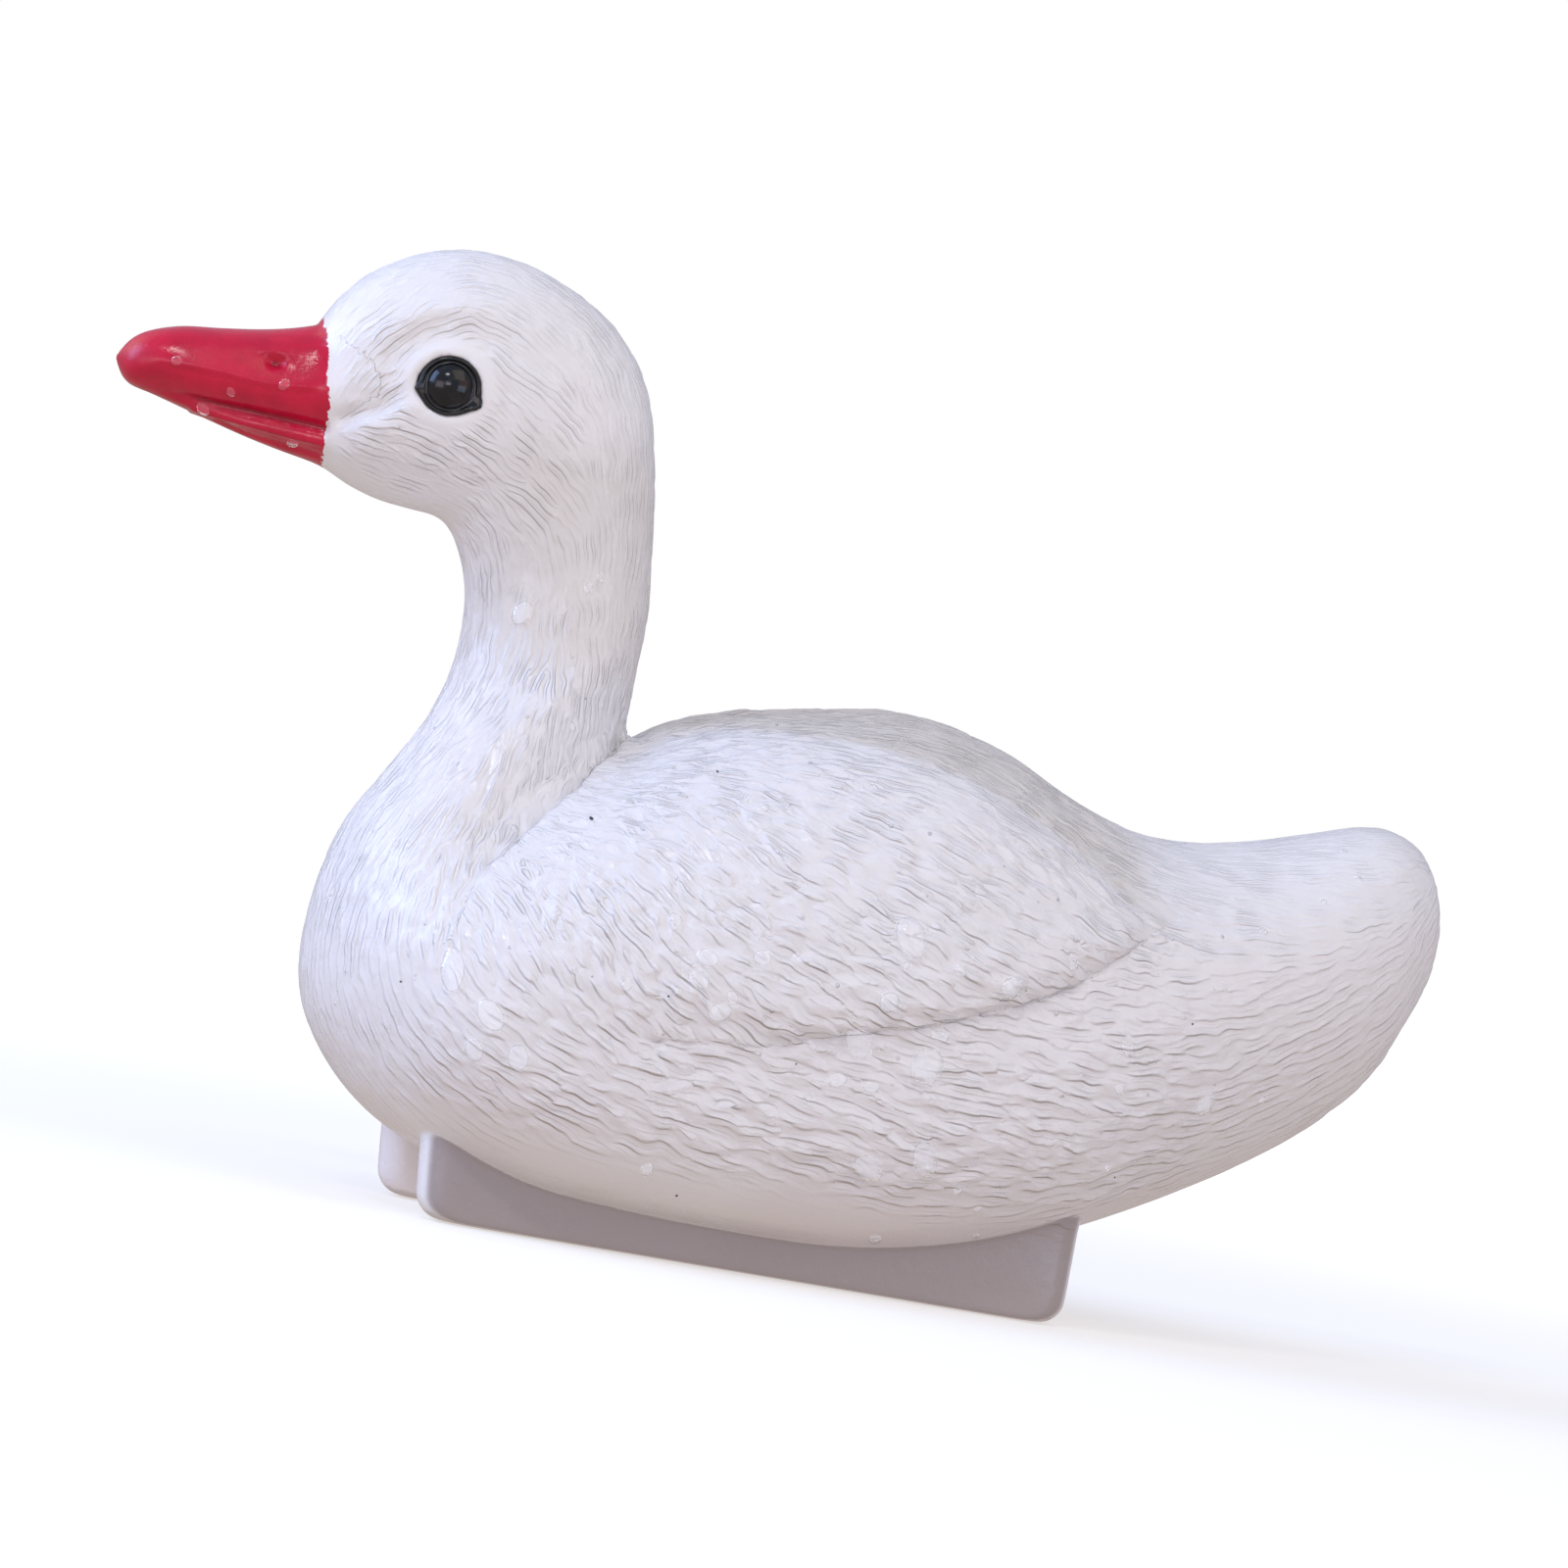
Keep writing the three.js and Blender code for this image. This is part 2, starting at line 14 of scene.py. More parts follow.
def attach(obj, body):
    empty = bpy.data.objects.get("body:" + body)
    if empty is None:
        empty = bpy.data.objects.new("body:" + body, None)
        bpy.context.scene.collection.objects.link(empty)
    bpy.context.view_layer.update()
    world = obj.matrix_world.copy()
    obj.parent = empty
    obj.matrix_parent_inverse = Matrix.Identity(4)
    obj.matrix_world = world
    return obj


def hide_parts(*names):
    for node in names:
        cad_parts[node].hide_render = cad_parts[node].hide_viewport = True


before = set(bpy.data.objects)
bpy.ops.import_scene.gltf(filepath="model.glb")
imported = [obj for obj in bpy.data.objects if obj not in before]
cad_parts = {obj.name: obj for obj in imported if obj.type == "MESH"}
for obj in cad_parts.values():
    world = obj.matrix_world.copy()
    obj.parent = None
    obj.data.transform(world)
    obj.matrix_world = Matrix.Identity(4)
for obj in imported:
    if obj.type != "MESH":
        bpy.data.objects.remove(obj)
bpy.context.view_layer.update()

LOG = logging.getLogger("swan_decoy")
MM = 0.001
ROOT = "root"

Colour = tuple[float, float, float]
Point2 = tuple[float, float]


class Side(Enum):
    """A side of the swan, by the sign of Y on it."""

    LEFT = -1
    RIGHT = 1


class Zone(Enum):
    """A part of the skin that is combed by itself."""

    FRONT = 1
    WING = 2
    FLANK = 3
    BACK = 4


class Value:
    """A number that varies over a surface: a socket that Python's operators work on."""

    def __init__(self, graph: "Graph", socket: bpy.types.NodeSocket) -> None:
        """Wraps an output socket.

        Args:
            graph: the node tree that the socket is in.
            socket: the output socket.
        """
        self.graph = graph
        self.socket = socket

    def __add__(self, other: "Value | float") -> "Value":
        """Sum."""
        return self.graph.math("ADD", self, other)

    def __sub__(self, other: "Value | float") -> "Value":
        """Difference."""
        return self.graph.math("SUBTRACT", self, other)

    def __rsub__(self, other: "Value | float") -> "Value":
        """Difference, with this value taken off."""
        return self.graph.math("SUBTRACT", other, self)

    def __mul__(self, other: "Value | float") -> "Value":
        """Product."""
        return self.graph.math("MULTIPLY", self, other)

    def __truediv__(self, other: "Value | float") -> "Value":
        """Quotient."""
        return self.graph.math("DIVIDE", self, other)

    def __pow__(self, other: "Value | float") -> "Value":
        """Power."""
        return self.graph.math("POWER", self, other)

    __radd__ = __add__
    __rmul__ = __mul__

    def at_most(self, other: "Value | float") -> "Value":
        """The smaller of the two."""
        return self.graph.math("MINIMUM", self, other)

    def at_least(self, other: "Value | float") -> "Value":
        """The larger of the two."""
        return self.graph.math("MAXIMUM", self, other)

    def ramp(self, low: float, high: float) -> "Value":
        """How far the value is from low to high, smoothly from 0 to 1.

        Args:
            low: the value that gives 0.
            high: the value that gives 1.

        Returns:
            The share, kept between 0 and 1.
        """
        node = self.graph.node(
            "ShaderNodeMapRange",
            {"interpolation_type": "SMOOTHSTEP"},
            {"Value": self, "From Min": low, "From Max": high},
        )
        return Value(self.graph, node.outputs["Result"])


class Graph:
    """The node tree of one material or world."""

    def __init__(self, owner: bpy.types.Material | bpy.types.World) -> None:
        """Empties the tree.

        Args:
            owner: the material or world whose nodes are made here.
        """
        owner.use_nodes = True
        self.tree = owner.node_tree
        self.tree.nodes.clear()

    def node(self, kind: str, settings: dict | None = None, inputs: dict | None = None) -> bpy.types.Node:
        """Adds a node.

        Args:
            kind: the node's type.
            settings: its own settings, set first.
            inputs: values or links for its input sockets, by name or number.

        Returns:
            The new node.
        """
        node = self.tree.nodes.new(kind)
        for name, value in (settings or {}).items():
            setattr(node, name, value)
        for key, value in (inputs or {}).items():
            socket = node.inputs[key]
            if isinstance(value, Value):
                self.tree.links.new(value.socket, socket)
            elif isinstance(value, bpy.types.NodeSocket):
                self.tree.links.new(value, socket)
            else:
                socket.default_value = value
        return node

    def math(self, operation: str, *values: "Value | float") -> Value:
        """Adds a Math node.

        Args:
            operation: the node's operation.
            values: its inputs in order.

        Returns:
            The result.
        """
        node = self.node("ShaderNodeMath", {"operation": operation}, dict(enumerate(values)))
        return Value(self, node.outputs[0])

    def vectors(self, operation: str, inputs: dict) -> bpy.types.NodeSocket:
        """Adds a Vector Math node.

        Args:
            operation: the node's operation.
            inputs: values or links for its sockets.

        Returns:
            The resulting vector.
        """
        return self.node("ShaderNodeVectorMath", {"operation": operation}, inputs).outputs[0]

    def coordinates(self) -> bpy.types.NodeSocket:
        """The Object coordinates."""
        return self.node("ShaderNodeTexCoord").outputs["Object"]

    def place(self) -> tuple[bpy.types.NodeSocket, Value, Value, Value]:
        """The place on the object.

        Returns:
            The Object coordinates, and X, Y and Z in millimetres.
        """
        coordinates = self.coordinates()
        parts = self.node("ShaderNodeSeparateXYZ", None, {0: coordinates})
        x, y, z = (Value(self, parts.outputs[i]) * (1 / MM) for i in range(3))
        return coordinates, x, y, z

    def attribute(self, name: str, output: str = "Fac") -> Value:
        """Reads one of the mesh's own attributes."""
        return Value(self, self.node("ShaderNodeAttribute", {"attribute_name": name}).outputs[output])

    def noise(self, coordinates: bpy.types.NodeSocket, size: float, detail: float = 2.0,
              roughness: float = 0.5) -> Value:
        """Cloudy noise from 0 to 1.

        Args:
            coordinates: where it is read.
            size: the breadth of its blobs in millimetres.
            detail: how many finer layers it has.
            roughness: how strong they are.

        Returns:
            The noise.
        """
        node = self.node("ShaderNodeTexNoise", None, {
            "Vector": coordinates, "Scale": 1 / (size * MM), "Detail": detail, "Roughness": roughness})
        return Value(self, node.outputs[0])

    def warped(self, coordinates: bpy.types.NodeSocket, size: float, reach: float) -> bpy.types.NodeSocket:
        """Coordinates that wander a little, so that what reads them is wavy.

        Args:
            coordinates: the coordinates.
            size: the breadth of the waves in millimetres.
            reach: how far they wander in millimetres.

        Returns:
            The wandering coordinates.
        """
        noise = self.node("ShaderNodeTexNoise", None, {
            "Vector": coordinates, "Scale": 1 / (size * MM), "Detail": 1.0}).outputs["Color"]
        shift = self.vectors("SUBTRACT", {0: noise, 1: (0.5, 0.5, 0.5)})
        shift = self.vectors("SCALE", {0: shift, "Scale": reach * 2 * MM})
        return self.vectors("ADD", {0: coordinates, 1: shift})

    def beads(self, coordinates: bpy.types.NodeSocket, spacing: float, radius: float, share: float) -> Value:
        """Tiny round beads, 1 in the middle of each and 0 between them.

        Args:
            coordinates: where they are read.
            spacing: their rough distance in millimetres.
            radius: how large each may be in millimetres.
            share: how many of the places have one.

        Returns:
            The beads.
        """
        cells = self.node("ShaderNodeTexVoronoi", {"feature": "F1"}, {
            "Vector": coordinates, "Scale": 1 / (spacing * MM), "Randomness": 1.0})
        parts = self.node("ShaderNodeSeparateXYZ", None, {0: cells.outputs["Color"]})
        chosen = Value(self, parts.outputs[0]).ramp(1 - share, 1 - share + 0.02)
        size = Value(self, parts.outputs[1]) * 0.6 + 0.4
        return (1 - Value(self, cells.outputs["Distance"]) * (spacing / radius) / size).at_least(0.0) * chosen

    def hairs(self, coordinates: bpy.types.NodeSocket, across: Value, length: float,
              spacing: float) -> tuple[Value, Value]:
        """Fine strands from 0 to 1 that lie square to a direction.

        Args:
            coordinates: where they are read.
            across: the direction across the strands.
            length: their rough length in millimetres.
            spacing: their distance in millimetres.

        Returns:
            The strands, and finer ones along them at half their distance.
        """
        node = self.node("ShaderNodeTexGabor", {"gabor_type": "3D"}, {
            "Vector": coordinates, "Scale": 1 / (length * MM), "Frequency": length / spacing,
            "Anisotropy": 1.0, 5: across})
        strands, phase, strength = (Value(self, output) for output in node.outputs)
        return strands, self.math("SINE", phase * (4 * math.pi)) * strength * 0.5 + 0.5

    def mix(self, share: "Value | float", first: object, second: object) -> bpy.types.NodeSocket:
        """Mixes two colours.

        Args:
            share: how much of the second there is.
            first: a colour or a colour socket.
            second: the same.

        Returns:
            The mixed colour.
        """
        first, second = ((*c, 1.0) if isinstance(c, tuple) else c for c in (first, second))
        node = self.node("ShaderNodeMix", {"data_type": "RGBA"}, {0: share, 6: first, 7: second})
        return node.outputs[2]

    def bump(self, height: Value, depth: float) -> bpy.types.NodeSocket:
        """A normal for a height.

        Args:
            height: the height, from 0 to 1.
            depth: what 1 means, in millimetres.

        Returns:
            The Bump node's normal.
        """
        return self.node("ShaderNodeBump", None, {
            "Strength": 1.0, "Distance": depth * MM, "Height": height}).outputs[0]

    def surface(self, inputs: dict) -> None:
        """Ends a material in a Principled shader.

        Args:
            inputs: values or links for its sockets.
        """
        shader = self.node("ShaderNodeBsdfPrincipled", None, inputs)
        self.node("ShaderNodeOutputMaterial", None, {"Surface": shader.outputs[0]})


@dataclass(frozen=True)
class SkinFinish:
    """White moulded plastic, wet, with a sprayed crimson beak, and with shade painted into its colour: in the
    hollows, low down, on the nape and back, and on the runners.

    Sizes and places are in millimetres, seen from the side as (x, z). The paint's edge runs from
    paint_top to paint_bottom. A band is a pair of heights between which something fades in or out.
    A tint is how much of another colour there is at most. A speck has its place and its radius.
    """

    white: Colour = (0.86, 0.85, 0.865)
    # The rosy colour of the painted warm shade low down.
    rosy_painted_shade: Colour = (0.82, 0.765, 0.78)
    # The colour of the painted shade in the relief's hollows and between the strands.
    hollow: Colour = (0.56, 0.53, 0.54)
    # The colour of the painted shade on the runners' outer sides, under the belly.
    painted_runner_shade: Colour = (0.35, 0.30, 0.295)
    # The colour of the painted shadow on the nape, under the head, and on the back behind the neck.
    dust_and_painted_shadow: Colour = (0.70, 0.665, 0.625)
    crimson: Colour = (0.62, 0.007, 0.047)
    deep_crimson: Colour = (0.26, 0.002, 0.018)
    speck: Colour = (0.02, 0.02, 0.03)
    paint_top: Point2 = (-87.7, 139.5)
    paint_bottom: Point2 = (-83.6, 116.9)
    paint_rag: float = 2.0
    paint_swing: float = 1.6
    paint_fade: float = 0.10
    rosy_shade_band: Point2 = (8.0, 34.0)
    nape_shadow_low_band: Point2 = (84.0, 98.0)
    nape_shadow_high_band: Point2 = (122.0, 134.0)
    fine_band: Point2 = (50.0, 92.0)
    # Most tints below are shares of painted shade: low down, on the nape and back, on the runners, in the
    # hollows, between the ridges and threads, and in the red hollows; the thick tint is thicker paint.
    rosy_shade_tint: float = 0.6
    nape_shadow_tint: float = 0.6
    back_shadow_tint: float = 0.85
    runner_shade_tint: float = 0.92
    groove_shade_tint: float = 0.07
    between_ridges_shade_tint: float = 0.10
    between_threads_shade_tint: float = 0.06
    thick_tint: float = 0.35
    red_groove_shade_tint: float = 0.9
    strand_length: float = 5.5
    strand_spacing: float = 2.4
    bead_spacing: float = 3.2
    bead_radius: float = 0.42
    bead_share: float = 0.30
    bump_depth: float = 0.17
    specks: tuple[tuple[float, float, float], ...] = (
        (-33.9, 68.1, 0.34), (-15.0, 79.3, 0.2), (-60.0, 37.0, 0.18), (-19.9, 42.5, 0.18),
        (-10.6, 11.2, 0.22), (2.6, 35.5, 0.16), (62.0, 26.0, 0.18), (69.0, 53.0, 0.2))

    def material(self) -> bpy.types.Material:
        """Makes the material.

        Returns:
            The skin's material.
        """
        material = bpy.data.materials.new("moulded_white_and_crimson")
        g = Graph(material)
        coordinates, x, y, z = g.place()
        relief = g.attribute("relief")
        paint = self._paint(g, coordinates, x, z)
        relieved = g.attribute("combed") * (1 - paint)
        strands, threads = g.hairs(g.warped(coordinates, 5.0, 0.9), g.attribute("across", "Vector"),
                                   self.strand_length, self.strand_spacing)
        ridges = strands.ramp(0.42, 0.80)
        threads = threads.ramp(0.45, 0.82)
        # Painted shade: darker in the relief's hollows and between the strands, where the grooves are in
        # shade.
        cut = (1 - relief.ramp(0.0, 0.8)) * self.groove_shade_tint
        cut = cut + (1 - ridges) * relieved * self.between_ridges_shade_tint + (1 - threads) * relieved * self.between_threads_shade_tint
        white = self._white(g, coordinates, x, z, cut)
        white = self._specked(g, x, y, z, white)
        colour = g.mix(paint, white, self._red(g, coordinates, relief))

        wet = g.noise(coordinates, 12, 3.0, 0.6).ramp(0.35, 0.65)
        splashed = z.ramp(20, 50) * (1 - z.ramp(88, 100)) * (1 - x.ramp(60, 100))
        beads = g.beads(coordinates, self.bead_spacing, self.bead_radius, self.bead_share)
        beads = beads * splashed * (1 - paint)
        grain = g.noise(coordinates, 0.45, 2.0, 0.6) * 0.22 + g.noise(coordinates, 2.2, 2.0, 0.5) * 0.45
        fine_share = z.ramp(*self.fine_band)
        combing = ridges * (2.3 - fine_share * 1.4) + threads * (0.9 + fine_share * 1.1)
        height = grain + combing * relieved + (beads * 2 - beads * beads) * 1.9
        g.surface({
            "Base Color": colour,
            "Roughness": (0.38 - wet * 0.22 - beads.ramp(0.0, 0.2) * 0.15).at_least(0.08),
            "IOR": 1.44,
            "Coat Weight": (0.1 + wet * 0.2) * (1 - paint * 0.4),
            "Coat Roughness": 0.05,
            "Coat IOR": 1.33,
            "Normal": g.bump(height, self.bump_depth),
        })
        return material

    def _paint(self, g: Graph, coordinates: bpy.types.NodeSocket, x: Value, z: Value) -> Value:
        """1 on the beak's paint and 0 behind its ragged, swinging edge."""
        slant = (self.paint_bottom[0] - self.paint_top[0]) / (self.paint_top[1] - self.paint_bottom[1])
        rag = (g.noise(coordinates, 1.0, 3.0, 0.7) - 0.5) * self.paint_rag
        swing = (g.noise(coordinates, 5.0, 0.0) - 0.5) * self.paint_swing
        edge = (self.paint_top[1] - z.at_least(self.paint_bottom[1] - 3)) * slant + self.paint_top[0]
        return (edge + rag + swing - x).ramp(-self.paint_fade, self.paint_fade)

    def _white(self, g: Graph, coordinates: bpy.types.NodeSocket, x: Value, z: Value,
               cut: Value) -> bpy.types.NodeSocket:
        """The white, with painted shade in it: rosy shade low down, darker in the cuts and between the
        strands, a painted shadow on the nape and back, and painted shade on the runners.
        """
        # Painted warm shade: rosier and darker towards the bottom, in random patches.
        rosy_shade_patches = g.noise(coordinates, 30, 1.0).ramp(0.4, 0.65)
        white = g.mix((1 - z.ramp(*self.rosy_shade_band)) * rosy_shade_patches * self.rosy_shade_tint, self.white, self.rosy_painted_shade)
        white = g.mix(cut.at_most(1.0), white, self.hollow)
        # Painted shadow: grey on the nape under the head, and on the back between the wings behind the neck.
        nape_shadow = z.ramp(*self.nape_shadow_low_band) * (1 - z.ramp(*self.nape_shadow_high_band)) * x.ramp(-62, -50)
        painted_shadow = nape_shadow * self.nape_shadow_tint + g.attribute("back") * self.back_shadow_tint
        white = g.mix(painted_shadow.at_most(1.0), white, self.dust_and_painted_shadow)
        # Painted shade on the runners' outer sides, under the belly's overhang.
        return g.mix(g.attribute("runner") * self.runner_shade_tint, white, self.painted_runner_shade)

    def _specked(self, g: Graph, x: Value, y: Value, z: Value,
                 white: bpy.types.NodeSocket) -> bpy.types.NodeSocket:
        """The white with its few dark specks on the left side."""
        left = 1 - y.ramp(-4, -2)
        for at_x, at_z, radius in self.specks:
            away = ((x - at_x) ** 2 + (z - at_z) ** 2) ** 0.5
            white = g.mix((1 - away.ramp(radius * 0.7, radius * 1.1)) * left, white, self.speck)
        return white

    def _red(self, g: Graph, coordinates: bpy.types.NodeSocket, relief: Value) -> bpy.types.NodeSocket:
        """The beak's crimson, deeper where the paint is thick, and with painted shade in the hollows."""
        thick = g.noise(coordinates, 5.0, 3.0, 0.6).ramp(0.3, 0.75)
        red = g.mix(thick * self.thick_tint, self.crimson, self.deep_crimson)
        # Painted shade: deep crimson in the beak's hollows.
        return g.mix((1 - relief.ramp(0.05, 0.5)) * self.red_groove_shade_tint, red, self.deep_crimson)


@dataclass(frozen=True)
class EyeFinish:
    """Polished black plastic, wet."""

    black: Colour = (0.005, 0.006, 0.008)
    # The colour of the dusty smears on the eye.
    dust_and_painted_shadow: Colour = (0.016, 0.017, 0.021)

    def material(self) -> bpy.types.Material:
        """Makes the material.

        Returns:
            The eyes' material.
        """
        material = bpy.data.materials.new("polished_black")
        g = Graph(material)
        coordinates = g.coordinates()
        smear = g.noise(coordinates, 2.0, 3.0, 0.6).ramp(0.4, 0.8)
        g.surface({
            "Base Color": g.mix(smear, self.black, self.dust_and_painted_shadow),
            "Roughness": 0.14 + smear * 0.12,
            "IOR": 1.46,
            "Normal": g.bump(g.noise(coordinates, 0.8, 2.0), 0.015),
        })
        return material


@dataclass(frozen=True)
class WaterFinish:
    """Clear water: how much light goes through it, and how much of what lies behind it stays covered."""

    tint: Colour = (1.0, 1.0, 1.0)
    clear: float = 0.82
    alpha: float = 0.42

    def material(self) -> bpy.types.Material:
        """Makes the material.

        Returns:
            The drops' material.
        """
        material = bpy.data.materials.new("clear_water")
        g = Graph(material)
        g.surface({
            "Base Color": (*self.tint, 1.0),
            "Roughness": 0.0,
            "IOR": 1.33,
            "Transmission Weight": self.clear,
            "Alpha": self.alpha,
            "Normal": g.bump(g.noise(g.coordinates(), 1.5, 1.0), 0.02),
        })
        return material


@dataclass(frozen=True)
class EyeSeat:
    """Where an eye insert sits: the middle of its flat back, and its own three directions."""

    back: Vector
    level: Vector
    upright: Vector
    outward: Vector

    @classmethod
    def of(cls, node: bpy.types.Object) -> "EyeSeat":
        """Reads the seat from a CAD insert, whose flat back is its largest flat face.

        Args:
            node: the insert's CAD object.

        Returns:
            Its seat, in millimetres.
        """
        areas: dict[tuple[float, ...], float] = {}
        middles: dict[tuple[float, ...], Vector] = {}
        for face in node.data.polygons:
            key = tuple(round(c, 2) for c in face.normal)
            areas[key] = areas.get(key, 0.0) + face.area
            middles[key] = middles.get(key, Vector()) + face.center * face.area
        flat = max(areas, key=areas.get)
        outward = -Vector(flat).normalized()
        level = Vector((0, 0, 1)).cross(outward).normalized()
        return cls(middles[flat] / areas[flat] / MM, level, outward.cross(level), outward)

    def matrix(self) -> Matrix:
        """The insert's own frame, with its back at the origin and +Z outward, in millimetres."""
        turn = Matrix((self.level, self.upright, self.outward)).transposed()
        return Matrix.Translation(self.back) @ turn.to_4x4()


def only(piece: bpy.types.Object) -> None:
    """Makes one object the selected and active one."""
    bpy.ops.object.select_all(action="DESELECT")
    piece.select_set(True)
    bpy.context.view_layer.objects.active = piece


def apply_modifier(piece: bpy.types.Object, kind: str, **settings: object) -> None:
    """Adds a modifier and applies it.

    Args:
        piece: the object.
        kind: the modifier's type.
        settings: its settings.
    """
    only(piece)
    modifier = piece.modifiers.new(kind.title(), kind)
    for name, value in settings.items():
        setattr(modifier, name, value)
    bpy.ops.object.modifier_apply(modifier=modifier.name)


def push_points(piece: bpy.types.Object, chosen: Callable[[Vector], bool], way: Sequence[float]) -> None:
    """Moves some of an object's points.

    Args:
        piece: the active object, in object mode.
        chosen: says of a point's place whether the point is moved.
        way: how far it goes.
    """
    for part in (piece.data.vertices, piece.data.edges, piece.data.polygons):
        part.foreach_set("select", [False] * len(part))
    for vertex in piece.data.vertices:
        vertex.select = chosen(vertex.co)
    bpy.ops.object.mode_set(mode="EDIT")
    bpy.ops.transform.translate(value=way)
    bpy.ops.object.mode_set(mode="OBJECT")


def rise(share: np.ndarray | float) -> np.ndarray:
    """A smooth step from 0 to 1."""
    t = np.clip(share, 0.0, 1.0)
    return t * t * (3 - 2 * t)


def tree_of(places: np.ndarray) -> KDTree:
    """A search tree of points, one a row."""
    tree = KDTree(len(places))
    for i, co in enumerate(places):
        tree.insert(co, i)
    tree.balance()
    return tree


@dataclass(frozen=True)
class SkinLine:
    """A line worked into both sides of the skin, in millimetres.

    Its path lies on the left side: places (x, z) as seen from there, or (x, y, z) where the skin
    turns too far up to be seen so. A step's lip is on the left hand of the path as it is walked.
    """

    path: tuple[tuple[float, ...], ...]
    groove: float = 0.0
    breadth: float = 1.0
    sharp: bool = False
    lip: float = 0.0
    lip_breadth: float = 3.0
    drop: float = 0.0
    drop_breadth: float = 3.0
    taper: Point2 = (0.06, 0.06)
    parts: tuple[Zone, Zone] | None = None

    def height(self, side: np.ndarray, share: np.ndarray) -> np.ndarray:
        """The height across the line.

        Args:
            side: signed distances from the line, positive on its left hand.
            share: shares of the way along it.

        Returns:
            The heights.
        """
        away = np.abs(side) / self.breadth
        height = -self.groove * (np.exp(-away) if self.sharp else np.exp(-away * away))
        raised = self.lip * np.exp(-np.maximum(side, 0) / self.lip_breadth)
        lowered = -self.drop * np.exp(np.minimum(side, 0) / self.drop_breadth)
        height = height + lowered + (raised - lowered) * rise((side + 0.6) / 1.2)
        return height * rise(share / self.taper[0]) * rise((1 - share) / self.taper[1])

    @property
    def reach(self) -> float:
        """How far from the line it shows."""
        return max(3.2 * self.breadth * (1.4 if self.sharp else 1), 3.5 * self.lip_breadth * (self.lip > 0),
                   3.5 * self.drop_breadth * (self.drop > 0), 8.0 * (self.parts is not None))


@dataclass(frozen=True)
class Comb:
    """One pass of strokes over the skin, by how they compare with each place's own tooling."""

    length: float
    spacing: float
    depth: float
    wander: float

    def tuft(self, onward: np.ndarray, off: np.ndarray, breadth: float, shares: np.ndarray) -> np.ndarray:
        """A stroke's height: round across, drawn out to a point at its ends, and bowed.

        Args:
            onward: how far along the stroke each point is, from -1 to 1.
            off: how far off its middle line each point is, in millimetres.
            breadth: the stroke's breadth in millimetres.
            shares: five random numbers from 0 to 1 that make it differ from the others.

        Returns:
            The heights, from 0 to 1.
        """
        bow = breadth * self.wander * (
            (shares[1] - 0.5) * 2.4 * onward * onward + 0.8 * np.sin(3.0 * onward + 6.28 * shares[2]))
        half_breadth = breadth * (0.80 + 0.24 * shares[3]) * (1.08 - 0.35 * onward * onward)
        round_top = np.clip(1 - np.abs((off + bow) / half_breadth), 0, 1) ** 1.25
        tuft = round_top * rise((1 + onward) / 0.9) * rise((1 - onward) / 0.55)
        return tuft * (0.6 + 0.4 * shares[4])


@dataclass(frozen=True)
class Fence:
    """A line that parts two zones, and each point's side of it: 1 on its left hand, -1, or 0 far away."""

    parts: tuple[Zone, Zone]
    signs: np.ndarray

    def at(self, chosen: np.ndarray) -> "Fence":
        """The same fence for some of the points."""
        return Fence(self.parts, self.signs[chosen])


@dataclass
class HalfSkin:
    """The skin's points turned onto the left half, and which of them came from the right."""

    places: np.ndarray
    normals: np.ndarray
    right: np.ndarray

    @classmethod
    def of(cls, mesh: bpy.types.Mesh) -> "HalfSkin":
        """Reads a mesh's points and normals, in millimetres."""
        both = []
        for name in ("co", "normal"):
            values = np.empty(len(mesh.vertices) * 3, np.float32)
            mesh.vertices.foreach_get(name, values)
            both.append(values.reshape(-1, 3).astype(float))
        places, normals = both[0] / MM, both[1]
        right = places[:, 1] > 0
        flip = np.where(right, -1.0, 1.0)
        places[:, 1] *= flip
        normals[:, 1] *= flip
        return cls(places, normals, right)

    def near(self, path: np.ndarray, reach: float) -> tuple[np.ndarray, np.ndarray, np.ndarray]:
        """Where the points within reach of a path stand from it.

        Args:
            path: the path's corners, one a row.
            reach: how far a point may be from it.

        Returns:
            The near points' indices, their signed distances, positive on the path's left hand, and
            their shares of the way along it.
        """
        low, high = path.min(0) - reach, path.max(0) + reach
        near = np.flatnonzero(((self.places > low) & (self.places < high)).all(1))
        spots, normals = self.places[near], self.normals[near]
        best, sign, share = np.full(len(near), np.inf), np.ones(len(near)), np.zeros(len(near))
        lengths = np.linalg.norm(np.diff(path, axis=0), axis=1)
        starts = np.concatenate(([0.0], np.cumsum(lengths)))
        for k, (start, end) in enumerate(zip(path, path[1:])):
            span = end - start
            t = np.clip((spots - start) @ span / (span @ span), 0, 1)
            off = spots - start - t[:, None] * span
            away = np.linalg.norm(off, axis=1)
            closer = away < best
            hand = np.einsum("ij,ij->i", off, np.cross(normals, span)) > 0
            best = np.where(closer, away, best)
            sign = np.where(closer, np.where(hand, 1.0, -1.0), sign)
            share = np.where(closer, (starts[k] + t * lengths[k]) / starts[-1], share)
        kept = best < reach
        return near[kept], (best * sign)[kept], share[kept]


